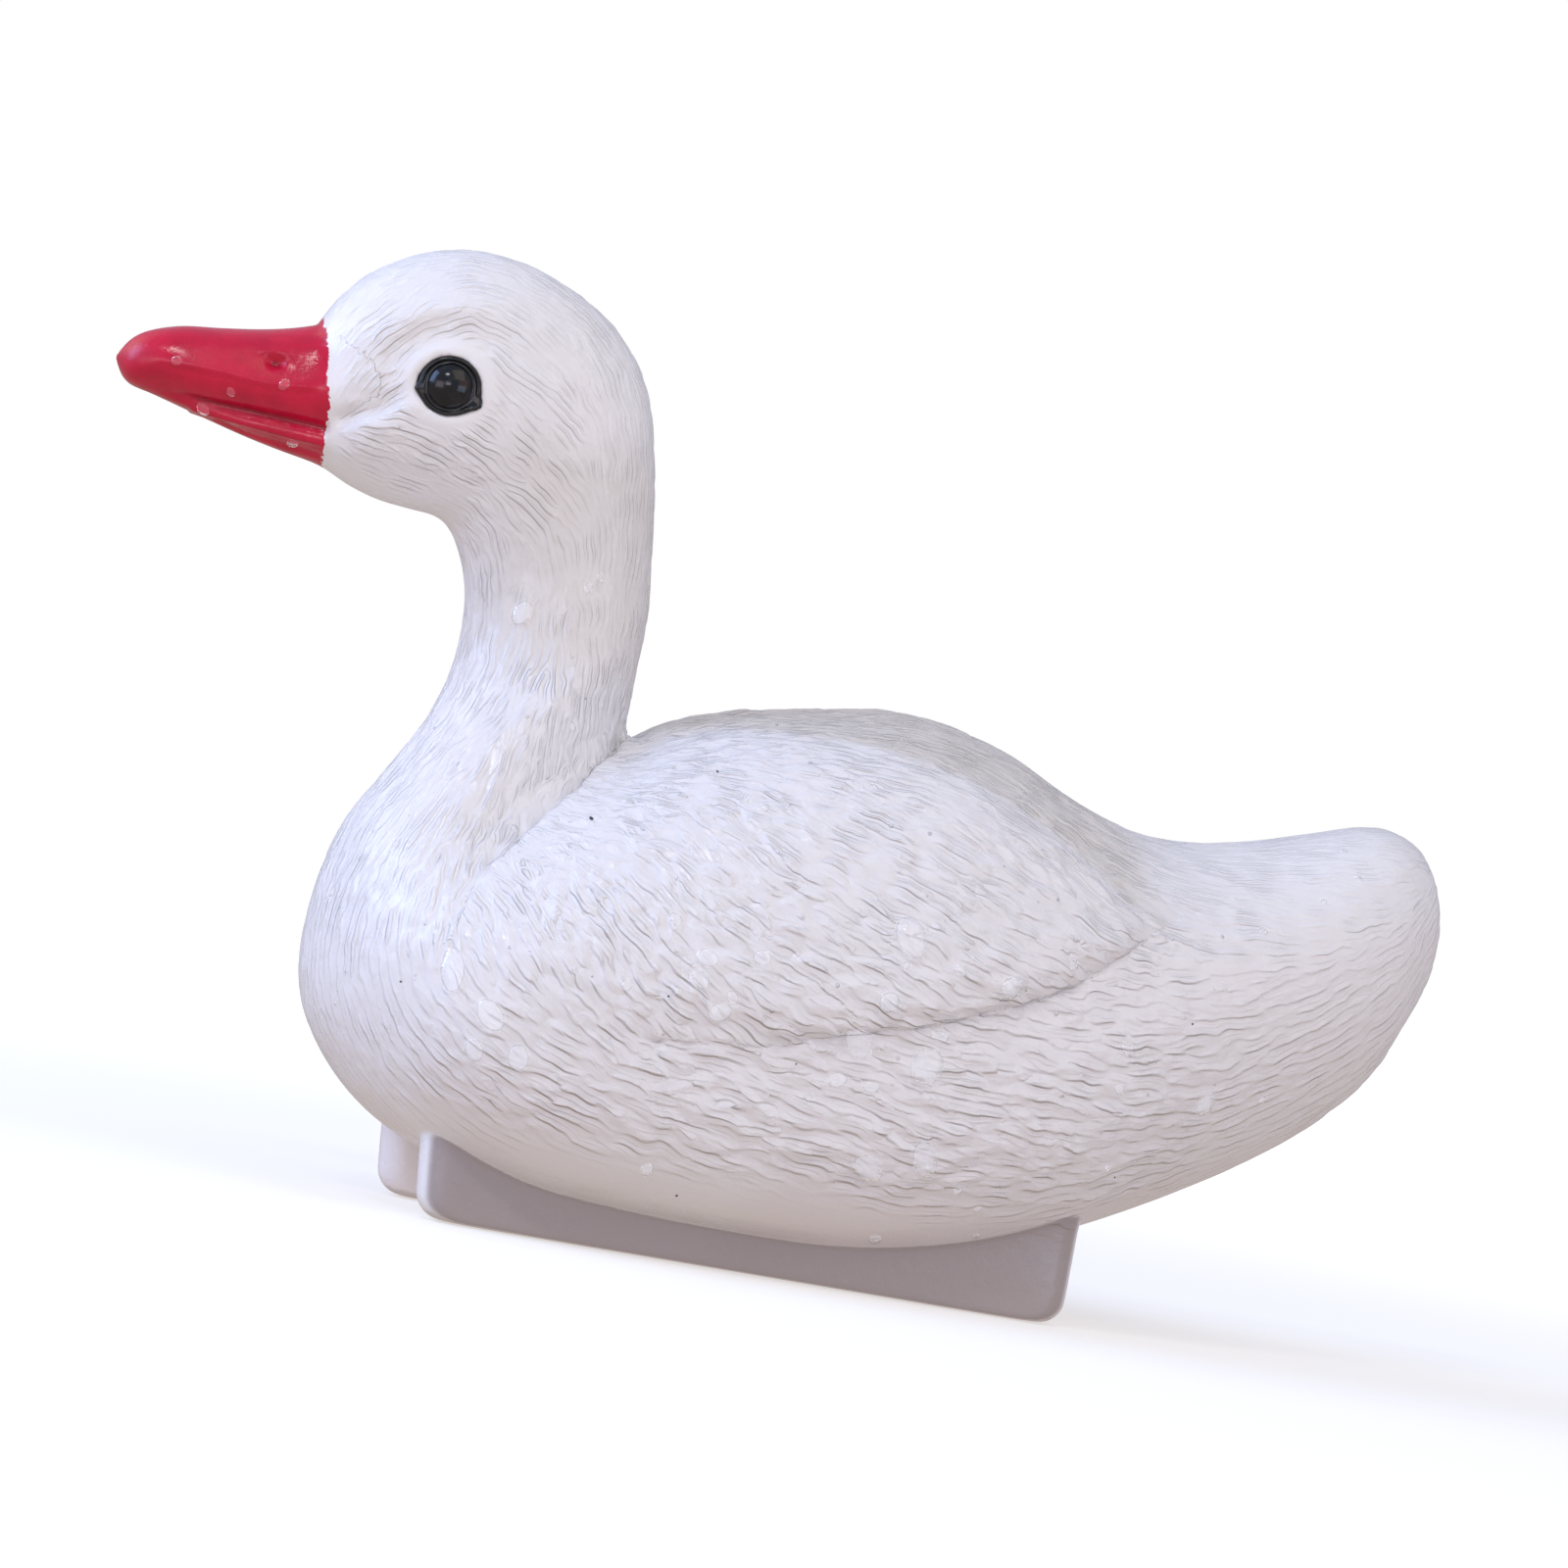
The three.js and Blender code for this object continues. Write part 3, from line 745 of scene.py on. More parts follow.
@dataclass
class SwanSkin:
    """The white moulding: head, neck, body, wings, tail and runners, with its combed relief.

    Sizes are in millimetres and angles in degrees. far_side is the relief's share on the right side,
    candidates how many strokes are tried in a pass, shallowest the depth under which none is cut, and
    over_fence what a guide in the next zone still counts for. neck_middle is the height above which
    the skin belongs to the head, belly_line the height under which it is smooth, and the ends and
    sides are places along X and Y.
    """

    weld: float = 0.002
    flat_angle: float = 50.0
    crease_angle: float = 42.0
    smoothing: int = 6
    voxel: float = 0.38
    triangles: int = 197_000
    seed: int = 11
    candidates: int = 60_000
    far_side: float = 0.4
    socket_pull: float = 0.45
    eye_depth: float = 8.0
    shallowest: float = 0.03
    guide_reach: float = 6.5
    tooling_reach: float = 11.0
    over_fence: float = 0.01
    neck_middle: float = 105.0
    beak_root: Point2 = (-87.0, 139.5)
    belly_line: float = 11.0
    runner_ends: Point2 = (-53.5, 61.5)
    runner_sides: Point2 = (-29.7, -16.4)
    back_ends: Point2 = (-27.0, 66.0)
    finish: SkinFinish = field(default_factory=SkinFinish)

    # The passes of the comb: broad clumps first, then the tufts
    passes: tuple[Comb, ...] = (Comb(2.0, 2.6, 0.40, 0.30), Comb(1.0, 1.25, 1.0, 0.36))

    # Where the feather relief runs, as seen from the side: a place, and the angle up from +X
    combing: dict[Zone, tuple[tuple[float, float, float], ...]] = field(default_factory=lambda: {
        Zone.FRONT: (
            (-82, 142, 56), (-74, 149, 33), (-60, 152, 163), (-48, 148, 135), (-37, 138, 108),
            (-50, 132, 152), (-42, 126, 125), (-54, 124, 151), (-63, 121, 163), (-75, 120, 172),
            (-83, 131, 72), (-74, 142, 42), (-56, 146, 158), (-57, 117, 158), (-49, 118, 140),
            (-66, 115, 170), (-53, 104, 93), (-42, 105, 98), (-33, 123, 95), (-28, 101, 87), (-46, 91, 93),
            (-55, 87, 68), (-34, 83, 84), (-58, 75, 70), (-47, 74, 82), (-64, 65, 66), (-54, 65, 77),
            (-68, 51, 80), (-59, 53, 98), (-70, 41, 102), (-61, 38, 113), (-67, 28, 132), (-56, 43, 102),
            (-56, 32, 150), (-62, 23, 160), (-56, 19, 165)),
        Zone.WING: (
            (-40, 65, 145), (-26, 77, 152), (-29, 67, 138), (-43, 56, 122), (-47, 46, 125), (-34, 58, 140),
            (-36, 45, 120), (-25, 50, 138), (-20, 61, 133), (-11, 73, 143), (-29, 39, 142), (-17, 41, 155),
            (-9, 53, 157), (0, 64, 155), (11, 79, 158), (5, 52, 163), (12, 61, 163), (21, 73, 157),
            (22, 59, 155), (31, 65, 163), (39, 81, 150), (45, 72, 150), (53, 68, 158), (30, 52, 167),
            (39, 59, 168), (50, 60, 165), (-18, 84, 172), (4, 87, 170), (23, 87, 160)),
        Zone.FLANK: (
            (-46, 32, 168), (-36, 30, 165), (-15, 34, 176), (8, 37, 178), (32, 42, 178), (-45, 20, 165),
            (-28, 24, 166), (-6, 29, 172), (17, 33, 172), (42, 37, 176), (-31, 14, 165), (-11, 21, 170),
            (11, 26, 170), (35, 31, 176), (66, 76, 178), (84, 79, 8), (101, 83, 14), (64, 65, 6),
            (82, 67, 12), (100, 70, 18), (58, 57, 8), (75, 56, 14), (94, 59, 22), (108, 76, 50),
            (67, 47, 6), (87, 50, 14), (102, 55, 26), (68, 35, 176), (86, 41, 10)),
        Zone.BACK: (
            (-18, 86, 178), (4, 90, 175), (23, 89, 168), (40, 86, 155), (52, 80, 150), (62, 74, 160),
            (84, 78, 4), (101, 83, 12)),
    })

    # How the relief is cut: a place, and the length, spacing and depth of its tufts
    tooling: tuple[tuple[float, float, float, float, float], ...] = (
        (-60, 151, 4.5, 1.5, 0.22), (-80, 140, 4.0, 1.5, 0.30), (-45, 132, 5.0, 1.8, 0.34),
        (-65, 120, 6.0, 1.8, 0.48), (-36, 124, 7.0, 1.7, 0.16), (-42, 106, 7.0, 1.6, 0.24),
        (-55, 94, 7.5, 1.7, 0.46), (-46, 78, 7.5, 1.9, 0.60), (-60, 56, 7.0, 1.9, 0.50),
        (-64, 26, 6.0, 2.0, 0.24), (-40, 64, 4.6, 1.8, 0.55), (-30, 56, 5.2, 2.0, 0.70),
        (-5, 62, 6.5, 2.3, 0.75), (5, 80, 6.5, 1.9, 0.50), (36, 60, 8.0, 2.6, 1.05),
        (0, 48, 7.5, 2.5, 1.00), (24, 90, 9.0, 1.8, 0.42), (-42, 26, 8.0, 2.2, 0.55),
        (10, 33, 9.0, 2.5, 0.85), (52, 38, 8.5, 2.4, 0.60), (85, 80, 11.0, 1.6, 0.24),
        (80, 62, 8.5, 1.9, 0.42), (92, 44, 8.0, 2.0, 0.30), (111, 72, 6.0, 1.7, 0.24))

    lines: tuple[SkinLine, ...] = (
        SkinLine(((-113.0, 124.2), (-108.5, 123.8), (-103.1, 123.4), (-97.5, 123.3), (-92.5, 123.2),
                  (-84.0, 122.9)),
                 groove=1.1, breadth=0.95, taper=(0.3, 0.03)),
        SkinLine(((-107.2, 122.6), (-97.7, 121.6), (-88.7, 120.8), (-83.8, 120.4)),
                 groove=-0.45, breadth=0.7),
        SkinLine(((-103.0, 120.9), (-97.0, 119.6), (-83.8, 118.6)), groove=0.40, breadth=0.8),
        SkinLine(((-115.0, 128.2), (-111.2, 128.3), (-106.8, 128.4), (-101.7, 128.3), (-96.5, 127.8),
                  (-91.2, 128.2),
                  (-86.5, 129.0)), lip=0.35, lip_breadth=2.4, drop=0.25, drop_breadth=1.6, taper=(0.2, 0.1)),
        SkinLine(((-97.0, 131.6), (-94.8, 132.1), (-92.6, 132.3)),
                 groove=1.15, breadth=1.15, taper=(0.45, 0.45)),
        SkinLine(((-98.4, 132.9), (-95.2, 133.7), (-91.4, 133.4)),
                 groove=-0.30, breadth=0.6, taper=(0.3, 0.3)),
        SkinLine(((-83.7, 123.9), (-81.3, 125.5), (-77.8, 127.3), (-75.9, 128.6), (-74.7, 130.3),
                  (-73.7, 132.4)),
                 groove=0.75, breadth=1.3, drop=-0.35, drop_breadth=3.0, taper=(0.12, 0.35)),
        SkinLine(((-80.5, 131.8), (-78.5, 135.0), (-75.5, 138.4), (-72.5, 141.0), (-67.0, 142.2)),
                 groove=0.45, breadth=2.2, taper=(0.3, 0.3)),
        SkinLine(((-80.6, 137.0), (-77.6, 140.6), (-74.0, 143.8), (-69.6, 145.6), (-63.0, 146.2),
                  (-57.5, 144.8)),
                 groove=-0.35, breadth=1.9, taper=(0.3, 0.3)),
        SkinLine(((-26.0, -6.2, 82.8), (-28.8, -13.3, 80.0), (-35.4, -21.5, 73.3), (-42.2, -26.6, 66.0),
                  (-48.9, -31.7, 58.2), (-52.2, -36.1, 51.3), (-53.7, -38.6, 46.0)),
                 groove=0.9, breadth=1.5, sharp=True, lip=0.6, lip_breadth=3.5, drop=1.0, drop_breadth=3.5,
                 taper=(0.02, 0.45), parts=(Zone.WING, Zone.FRONT)),
        SkinLine(((61.1, -36.2, 66.9), (56.9, -36.4, 69.4), (53.3, -35.3, 72.0), (48.3, -32.6, 75.9),
                  (42.8, -31.7, 79.5), (35.5, -31.8, 82.4), (28.5, -30.8, 85.0), (19.8, -31.0, 86.6),
                  (11.5, -30.2, 87.5), (3.9, -27.0, 87.7), (-4.0, -25.2, 87.3), (-11.3, -20.9, 86.6),
                  (-18.2, -15.4, 85.0), (-24.0, -9.5, 83.4)),
                 groove=0.7, breadth=1.3, sharp=True, lip=0.45, lip_breadth=3.5, drop=1.5, drop_breadth=5.0,
                 taper=(0.08, 0.1), parts=(Zone.WING, Zone.BACK)),
        SkinLine(((-19.9, -6.4, 85.6), (-13.1, -12.5, 87.7), (-5.5, -15.4, 89.0), (1.4, -19.5, 89.8),
                  (12.3, -22.5, 89.6)), groove=-0.3, breadth=0.8, taper=(0.2, 0.3)),
        SkinLine(((-24.8, 33.4), (-17.0, 34.4), (-9.2, 35.5), (0.1, 37.2), (6.3, 38.8)),
                 groove=-0.35, breadth=1.2, taper=(0.4, 0.4)),
        SkinLine(((-12.0, -48.9, 36.4), (-1.3, -49.0, 37.6), (4.5, -49.6, 39.8), (10.6, -49.7, 41.6),
                  (16.8, -49.8, 43.4), (24.6, -49.4, 45.9), (32.6, -47.8, 48.8), (40.7, -46.1, 52.3),
                  (48.8, -43.6, 57.0), (55.2, -40.8, 62.5), (61.1, -36.2, 66.9)),
                 groove=0.55, breadth=1.5, lip=0.5, lip_breadth=3.0, drop=0.2, drop_breadth=2.0,
                 taper=(0.35, 0.05), parts=(Zone.WING, Zone.FLANK)))

    def build(self, node: bpy.types.Object, seats: Sequence[EyeSeat]) -> bpy.types.Object:
        """Makes the skin in place of the CAD moulding.

        Args:
            node: the moulding's CAD object.
            seats: the eyes' seats.

        Returns:
            The finished piece.
        """
        piece = self._smooth_copy(node)
        places, relief, fences = self._work_relief(piece, seats)
        faces = sum(len(face.vertices) - 2 for face in piece.data.polygons)
        LOG.info("skin before thinning: %d triangles", faces)
        apply_modifier(piece, "DECIMATE", ratio=min(1.0, self.triangles / faces))
        self._note_relief(piece, places, relief, fences, seats)
        only(piece)
        bpy.ops.object.shade_smooth()
        piece.data.materials.clear()
        piece.data.materials.append(self.finish.material())
        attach(piece, ROOT)
        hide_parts("swan_body")
        LOG.info("skin: %d triangles", sum(len(face.vertices) - 2 for face in piece.data.polygons))
        return piece

    def _smooth_copy(self, node: bpy.types.Object) -> bpy.types.Object:
        """A fine, even copy of the moulding without its facets, and with fillets at the runners."""
        piece = bpy.data.objects.new("swan_skin", node.data.copy())
        bpy.context.scene.collection.objects.link(piece)
        only(piece)
        bpy.ops.object.mode_set(mode="EDIT")
        bpy.ops.mesh.select_all(action="SELECT")
        bpy.ops.mesh.remove_doubles(threshold=self.weld * MM)
        flat = math.radians(self.flat_angle)
        bpy.ops.mesh.tris_convert_to_quads(face_threshold=flat, shape_threshold=flat)
        bpy.ops.mesh.select_all(action="DESELECT")
        bpy.ops.mesh.edges_select_sharp(sharpness=math.radians(self.crease_angle))
        bpy.ops.transform.edge_crease(value=1.0)
        bpy.ops.object.mode_set(mode="OBJECT")
        apply_modifier(piece, "SUBSURF", levels=2, render_levels=2)
        apply_modifier(piece, "REMESH", mode="VOXEL", voxel_size=self.voxel * MM)
        apply_modifier(piece, "SMOOTH", factor=0.5, iterations=self.smoothing)
        return piece

    def _work_relief(self, piece: bpy.types.Object,
                     seats: Sequence[EyeSeat]) -> tuple[np.ndarray, np.ndarray, list[Fence]]:
        """Moves the skin's points along their normals.

        Args:
            piece: the fine copy.
            seats: the eyes' seats.

        Returns:
            The points' new places in metres, how far each is from a hollow, from 0 to 1, and the
            fences between the zones.
        """
        half = HalfSkin.of(piece.data)
        fences = []
        height = self._lids(half, seats)
        tree = BVHTree.FromObject(piece, bpy.context.evaluated_depsgraph_get())
        for line in self.lines:
            path = np.array([self._on_skin(tree, place) for place in line.path])
            near, side, share = half.near(path, line.reach)
            height[near] += line.height(side, share)
            if line.parts:
                signs = np.zeros(len(height), np.int8)
                signs[near] = np.sign(side)
                fences.append(Fence(line.parts, signs))
        depth = self._tooling_at(half.places[:, [0, 2]])[2] * self._bare(half, seats)
        depth[half.right] *= self.far_side
        combed, relief = self._comb(half, fences, depth)
        relief = np.clip(relief + np.minimum(height, 0) * 0.8, 0, 1)
        height += combed

        values = np.empty(len(height) * 3, np.float32)
        piece.data.vertices.foreach_get("normal", values)
        normals = values.reshape(-1, 3).astype(float)
        piece.data.vertices.foreach_get("co", values)
        shift = normals * height[:, None] + self._socket_pull(half, seats)
        moved = values.reshape(-1, 3) + shift * MM
        piece.data.vertices.foreach_set("co", moved.astype(np.float32).ravel())
        piece.data.update()
        return moved, relief, fences

    def _on_skin(self, tree: BVHTree, place: Sequence[float]) -> tuple[float, float, float]:
        """The place on the left side of the skin that a line's corner means."""
        if len(place) == 3:
            return tuple(tree.find_nearest(Vector(place) * MM)[0] / MM)
        hit = tree.ray_cast(Vector((place[0], -100, place[1])) * MM, Vector((0, 1, 0)))[0]
        return tuple((hit or tree.find_nearest(Vector((place[0], -2, place[1])) * MM)[0]) / MM)

    def _from_eye(self, half: HalfSkin,
                  seats: Sequence[EyeSeat]) -> tuple[EyeSeat, np.ndarray, np.ndarray, np.ndarray]:
        """Where the points are from the left eye.

        Args:
            half: the skin's points.
            seats: the eyes' seats.

        Returns:
            The left eye's seat, the points' places from its back, how far out along its axis they
            are, and their places square to that axis.
        """
        seat = next(seat for seat in seats if seat.back.y < 0)
        away = half.places - np.array(seat.back)
        out = away @ np.array(seat.outward)
        return seat, away, out, away - np.outer(out, np.array(seat.outward))

    def _lids(self, half: HalfSkin, seats: Sequence[EyeSeat]) -> np.ndarray:
        """The height of the thin lid round each eye, fullest above and in front of it."""
        seat, away, out, _ = self._from_eye(half, seats)
        across, up = away @ np.array(seat.level), away @ np.array(seat.upright)
        reach = np.hypot(across / 1.06, up)
        full = 0.35 + 0.65 * np.cos(np.arctan2(up, across) - math.radians(140)) ** 2 * (up - across > 0)
        lid = 0.45 * full * np.exp(-((reach - 6.4) / 0.8) ** 2)
        fold = 0.25 * np.exp(-((reach - 9.0) / 2.0) ** 2)
        return (np.abs(out - 3.0) < 4.0) * (lid - fold)

    def _socket_pull(self, half: HalfSkin, seats: Sequence[EyeSeat]) -> np.ndarray:
        """How far the socket's edge is drawn in round each eye, in millimetres, one row a point."""
        _, _, out, flat = self._from_eye(half, seats)
        reach = np.linalg.norm(flat, axis=1)
        share = np.exp(-((reach - 5.6) / 1.3) ** 2) * rise((out - 0.8) / 1.0) * (np.abs(out) < self.eye_depth)
        pull = -flat / np.maximum(reach, 0.1)[:, None] * (self.socket_pull * share)[:, None]
        pull[half.right, 1] *= -1
        return pull

    def _comb(self, half: HalfSkin, fences: Sequence[Fence],
              depth: np.ndarray) -> tuple[np.ndarray, np.ndarray]:
        """Cuts the strokes: rounded tufts side by side, with sharp hollows between them.

        Args:
            half: the skin's points.
            fences: the lines that no stroke crosses.
            depth: how deep the tufts are at each point, in millimetres.

        Returns:
            The height of the strokes, and how high each point is in them, from 0 to 1.
        """
        rng = np.random.default_rng(self.seed)
        places, normals = half.places, half.normals
        length, spacing, _ = self._tooling_at(places[:, [0, 2]])
        tree = tree_of(places)
        total, relief = np.zeros(len(places)), np.ones(len(places))
        usable = np.flatnonzero(depth > self.shallowest)
        for comb in self.passes:
            seeds = rng.choice(usable, self.candidates, replace=False)
            along = self._along(places[seeds], normals[seeds], [fence.at(seeds) for fence in fences],
                                rng.normal(0, comb.wander * 0.35, len(seeds)))
            across = np.cross(normals[seeds], along)
            kept = self._spread_out(places[seeds], along, across, length[seeds] * comb.length * 0.58,
                                    spacing[seeds] * comb.spacing * 0.80)
            cut = np.zeros(len(places))
            shares = rng.random((len(seeds), 5))
            for k in kept:
                i = seeds[k]
                reach = length[i] * comb.length * (0.62 + 0.22 * shares[k, 0])
                near = np.fromiter((found[1] for found in tree.find_range(places[i], reach)), int)
                for fence in fences:
                    if fence.signs[i]:
                        near = near[fence.signs[near] * fence.signs[i] >= 0]
                away = places[near] - places[i]
                close = np.abs(away @ normals[i]) < 3.0
                near, away = near[close], away[close]
                breadth = spacing[i] * comb.spacing
                tuft = comb.tuft(away @ along[k] / reach, away @ across[k], breadth, shares[k])
                cut[near] = np.maximum(cut[near], tuft)
            total += (cut - 0.4) * depth * comb.depth
            if comb.depth >= 1:
                hollow = (1 - rise(cut / 0.55)) * rise(depth / 0.5)
                relief = np.where(depth > self.shallowest, 1 - hollow, 1.0)
            LOG.info("combing: %d strokes", len(kept))
        return total, relief

    def _spread_out(self, spots: np.ndarray, along: np.ndarray, across: np.ndarray, length: np.ndarray,
                    breadth: np.ndarray) -> list[int]:
        """Keeps strokes that don't crowd each other, in the order that they come.

        Args:
            spots: the strokes' middles.
            along: their directions.
            across: the directions square to them on the skin.
            length: how far apart they are kept along, each.
            breadth: how far apart they are kept across, each.

        Returns:
            The kept strokes' indices.
        """
        tree = tree_of(spots)
        free = np.ones(len(spots), bool)
        kept = []
        for i in range(len(spots)):
            if not free[i]:
                continue
            kept.append(i)
            reach = max(length[i], breadth[i])
            near = np.fromiter((found[1] for found in tree.find_range(spots[i], reach)), int)
            away = spots[near] - spots[i]
            crowded = (np.abs(away @ along[i]) < length[i]) & (np.abs(away @ across[i]) < breadth[i])
            free[near[crowded]] = False
        return kept

    def _along(self, spots: np.ndarray, normals: np.ndarray, fences: Sequence[Fence],
               sway: np.ndarray | float = 0.0) -> np.ndarray:
        """The relief's direction on the skin, towards the tail.

        Args:
            spots: the places, one a row.
            normals: the skin's normals there.
            fences: the fences, for these places.
            sway: an angle to add to each direction.

        Returns:
            Unit directions in the skin's plane.
        """
        guides = [(*guide, zone) for zone, rows in self.combing.items() for guide in rows]
        turns = np.radians([guide[2] for guide in guides]) * 2
        zones = np.array([guide[3].value for guide in guides])
        weight = np.empty((len(spots), len(guides)))
        for k, guide in enumerate(guides):
            away = (spots[:, 0] - guide[0]) ** 2 + (spots[:, 2] - guide[1]) ** 2
            weight[:, k] = np.exp(-away / (2 * self.guide_reach ** 2)) + 1e-6 / (away + 1)
        for fence in fences:
            left, right = fence.parts
            weight[np.ix_(fence.signs > 0, zones == right.value)] *= self.over_fence
            weight[np.ix_(fence.signs < 0, zones == left.value)] *= self.over_fence
        angle = np.arctan2(weight @ np.sin(turns), weight @ np.cos(turns)) / 2 + sway
        along = np.stack((np.cos(angle), np.zeros(len(angle)), np.sin(angle)), 1)
        along[along[:, 0] - along[:, 2] * 0.6 < 0] *= -1
        along -= normals * np.einsum("ij,ij->i", along, normals)[:, None]
        return along / np.maximum(np.linalg.norm(along, axis=1), 1e-6)[:, None]

    def _tooling_at(self, flat: np.ndarray) -> np.ndarray:
        """The tufts' length, spacing and depth at places of the side view, one a row."""
        total, weights = np.zeros((3, len(flat))), np.zeros(len(flat))
        for row in np.array(self.tooling):
            away = ((flat - row[:2]) ** 2).sum(1)
            weight = np.exp(-away / (2 * self.tooling_reach ** 2)) + 1e-6 / (away + 1)
            total += weight * row[2:, None]
            weights += weight
        return total / weights

    def _bare(self, half: HalfSkin, seats: Sequence[EyeSeat]) -> np.ndarray:
        """0 where the skin is left smooth: the beak, the belly, the runners and round the eyes."""
        x, _, z = half.places.T
        root_x, root_z = self.beak_root
        beak = np.where(z > self.neck_middle, rise((x - (root_x + (root_z - z) * 0.22)) / 3.0), 1.0)
        belly = rise((z - self.belly_line - 0.00022 * np.maximum(x - 20, 0) ** 2.4) / 12)
        under = rise((half.normals[:, 2] + 0.95) / 0.35)
        _, _, out, flat = self._from_eye(half, seats)
        reach = np.linalg.norm(flat, axis=1)
        return beak * belly * under * np.where(np.abs(out) < self.eye_depth, rise((reach - 6.6) / 2.2), 1.0)

    def _runner_shade_mask(self, half: HalfSkin) -> np.ndarray:
        """Where shade is painted on the runners: 1 on their outer sides and undersides, which the belly
        shades, and 0 on the belly that hangs over them.
        """
        x, y, z = half.places.T
        belly = 6.6 + np.where(x < 5, 0.0022, 0.0041) * (x - 5) ** 2
        (front, rear), (outer, inner) = self.runner_ends, self.runner_sides
        inside = (x > front) & (x < rear) & (y < inner) & (y > outer) & (z < belly + 1.0)
        return inside * np.maximum(rise((-half.normals[:, 1] - 0.45) / 0.3), 0.4 * (z < 1.2))

    def _back_shadow_mask(self, half: HalfSkin) -> np.ndarray:
        """Where a shadow is painted on the back: 1 between the wings' upper edges, in the neck's shadow, and
        0 on the wings.
        """
        edge = np.array(next(line.path for line in self.lines if line.parts and Zone.BACK in line.parts))
        edge = edge[np.argsort(edge[:, 0])]
        x, _, z = half.places.T
        above = rise((z - np.interp(x, edge[:, 0], edge[:, 2])) / 1.2)
        front, rear = self.back_ends
        return above * rise((x - front) / 6) * rise((rear - x) / 12)

    def _note_relief(self, piece: bpy.types.Object, places: np.ndarray, relief: np.ndarray,
                     fences: Sequence[Fence], seats: Sequence[EyeSeat]) -> None:
        """Keeps what the finish needs as attributes: relief, combed, runner, back and across. Relief, runner
        and back tell where shade is painted.

        Args:
            piece: the thinned skin.
            places: the points of the fine copy, in metres.
            relief: how far each of them is from a hollow.
            fences: their fences.
            seats: the eyes' seats.
        """
        tree = tree_of(places)
        mesh = piece.data
        nearest = np.fromiter((tree.find(vertex.co)[1] for vertex in mesh.vertices), int, len(mesh.vertices))
        half = HalfSkin.of(mesh)
        along = self._along(half.places, half.normals, [fence.at(nearest) for fence in fences])
        across = np.cross(half.normals, along)
        across[:, 1] *= np.where(places[nearest, 1] > 0, -1.0, 1.0)
        depth = self._tooling_at(half.places[:, [0, 2]])[2] * self._bare(half, seats)
        shares = {"relief": relief[nearest], "combed": np.clip(depth / 0.5, 0, 1),
                  "runner": self._runner_shade_mask(half), "back": self._back_shadow_mask(half)}
        for name, values in shares.items():
            attribute = mesh.attributes.new(name, "FLOAT", "POINT")
            attribute.data.foreach_set("value", values.astype(np.float32))
        attribute = mesh.attributes.new("across", "FLOAT_VECTOR", "POINT")
        attribute.data.foreach_set("vector", across.astype(np.float32).ravel())
        mesh.update()


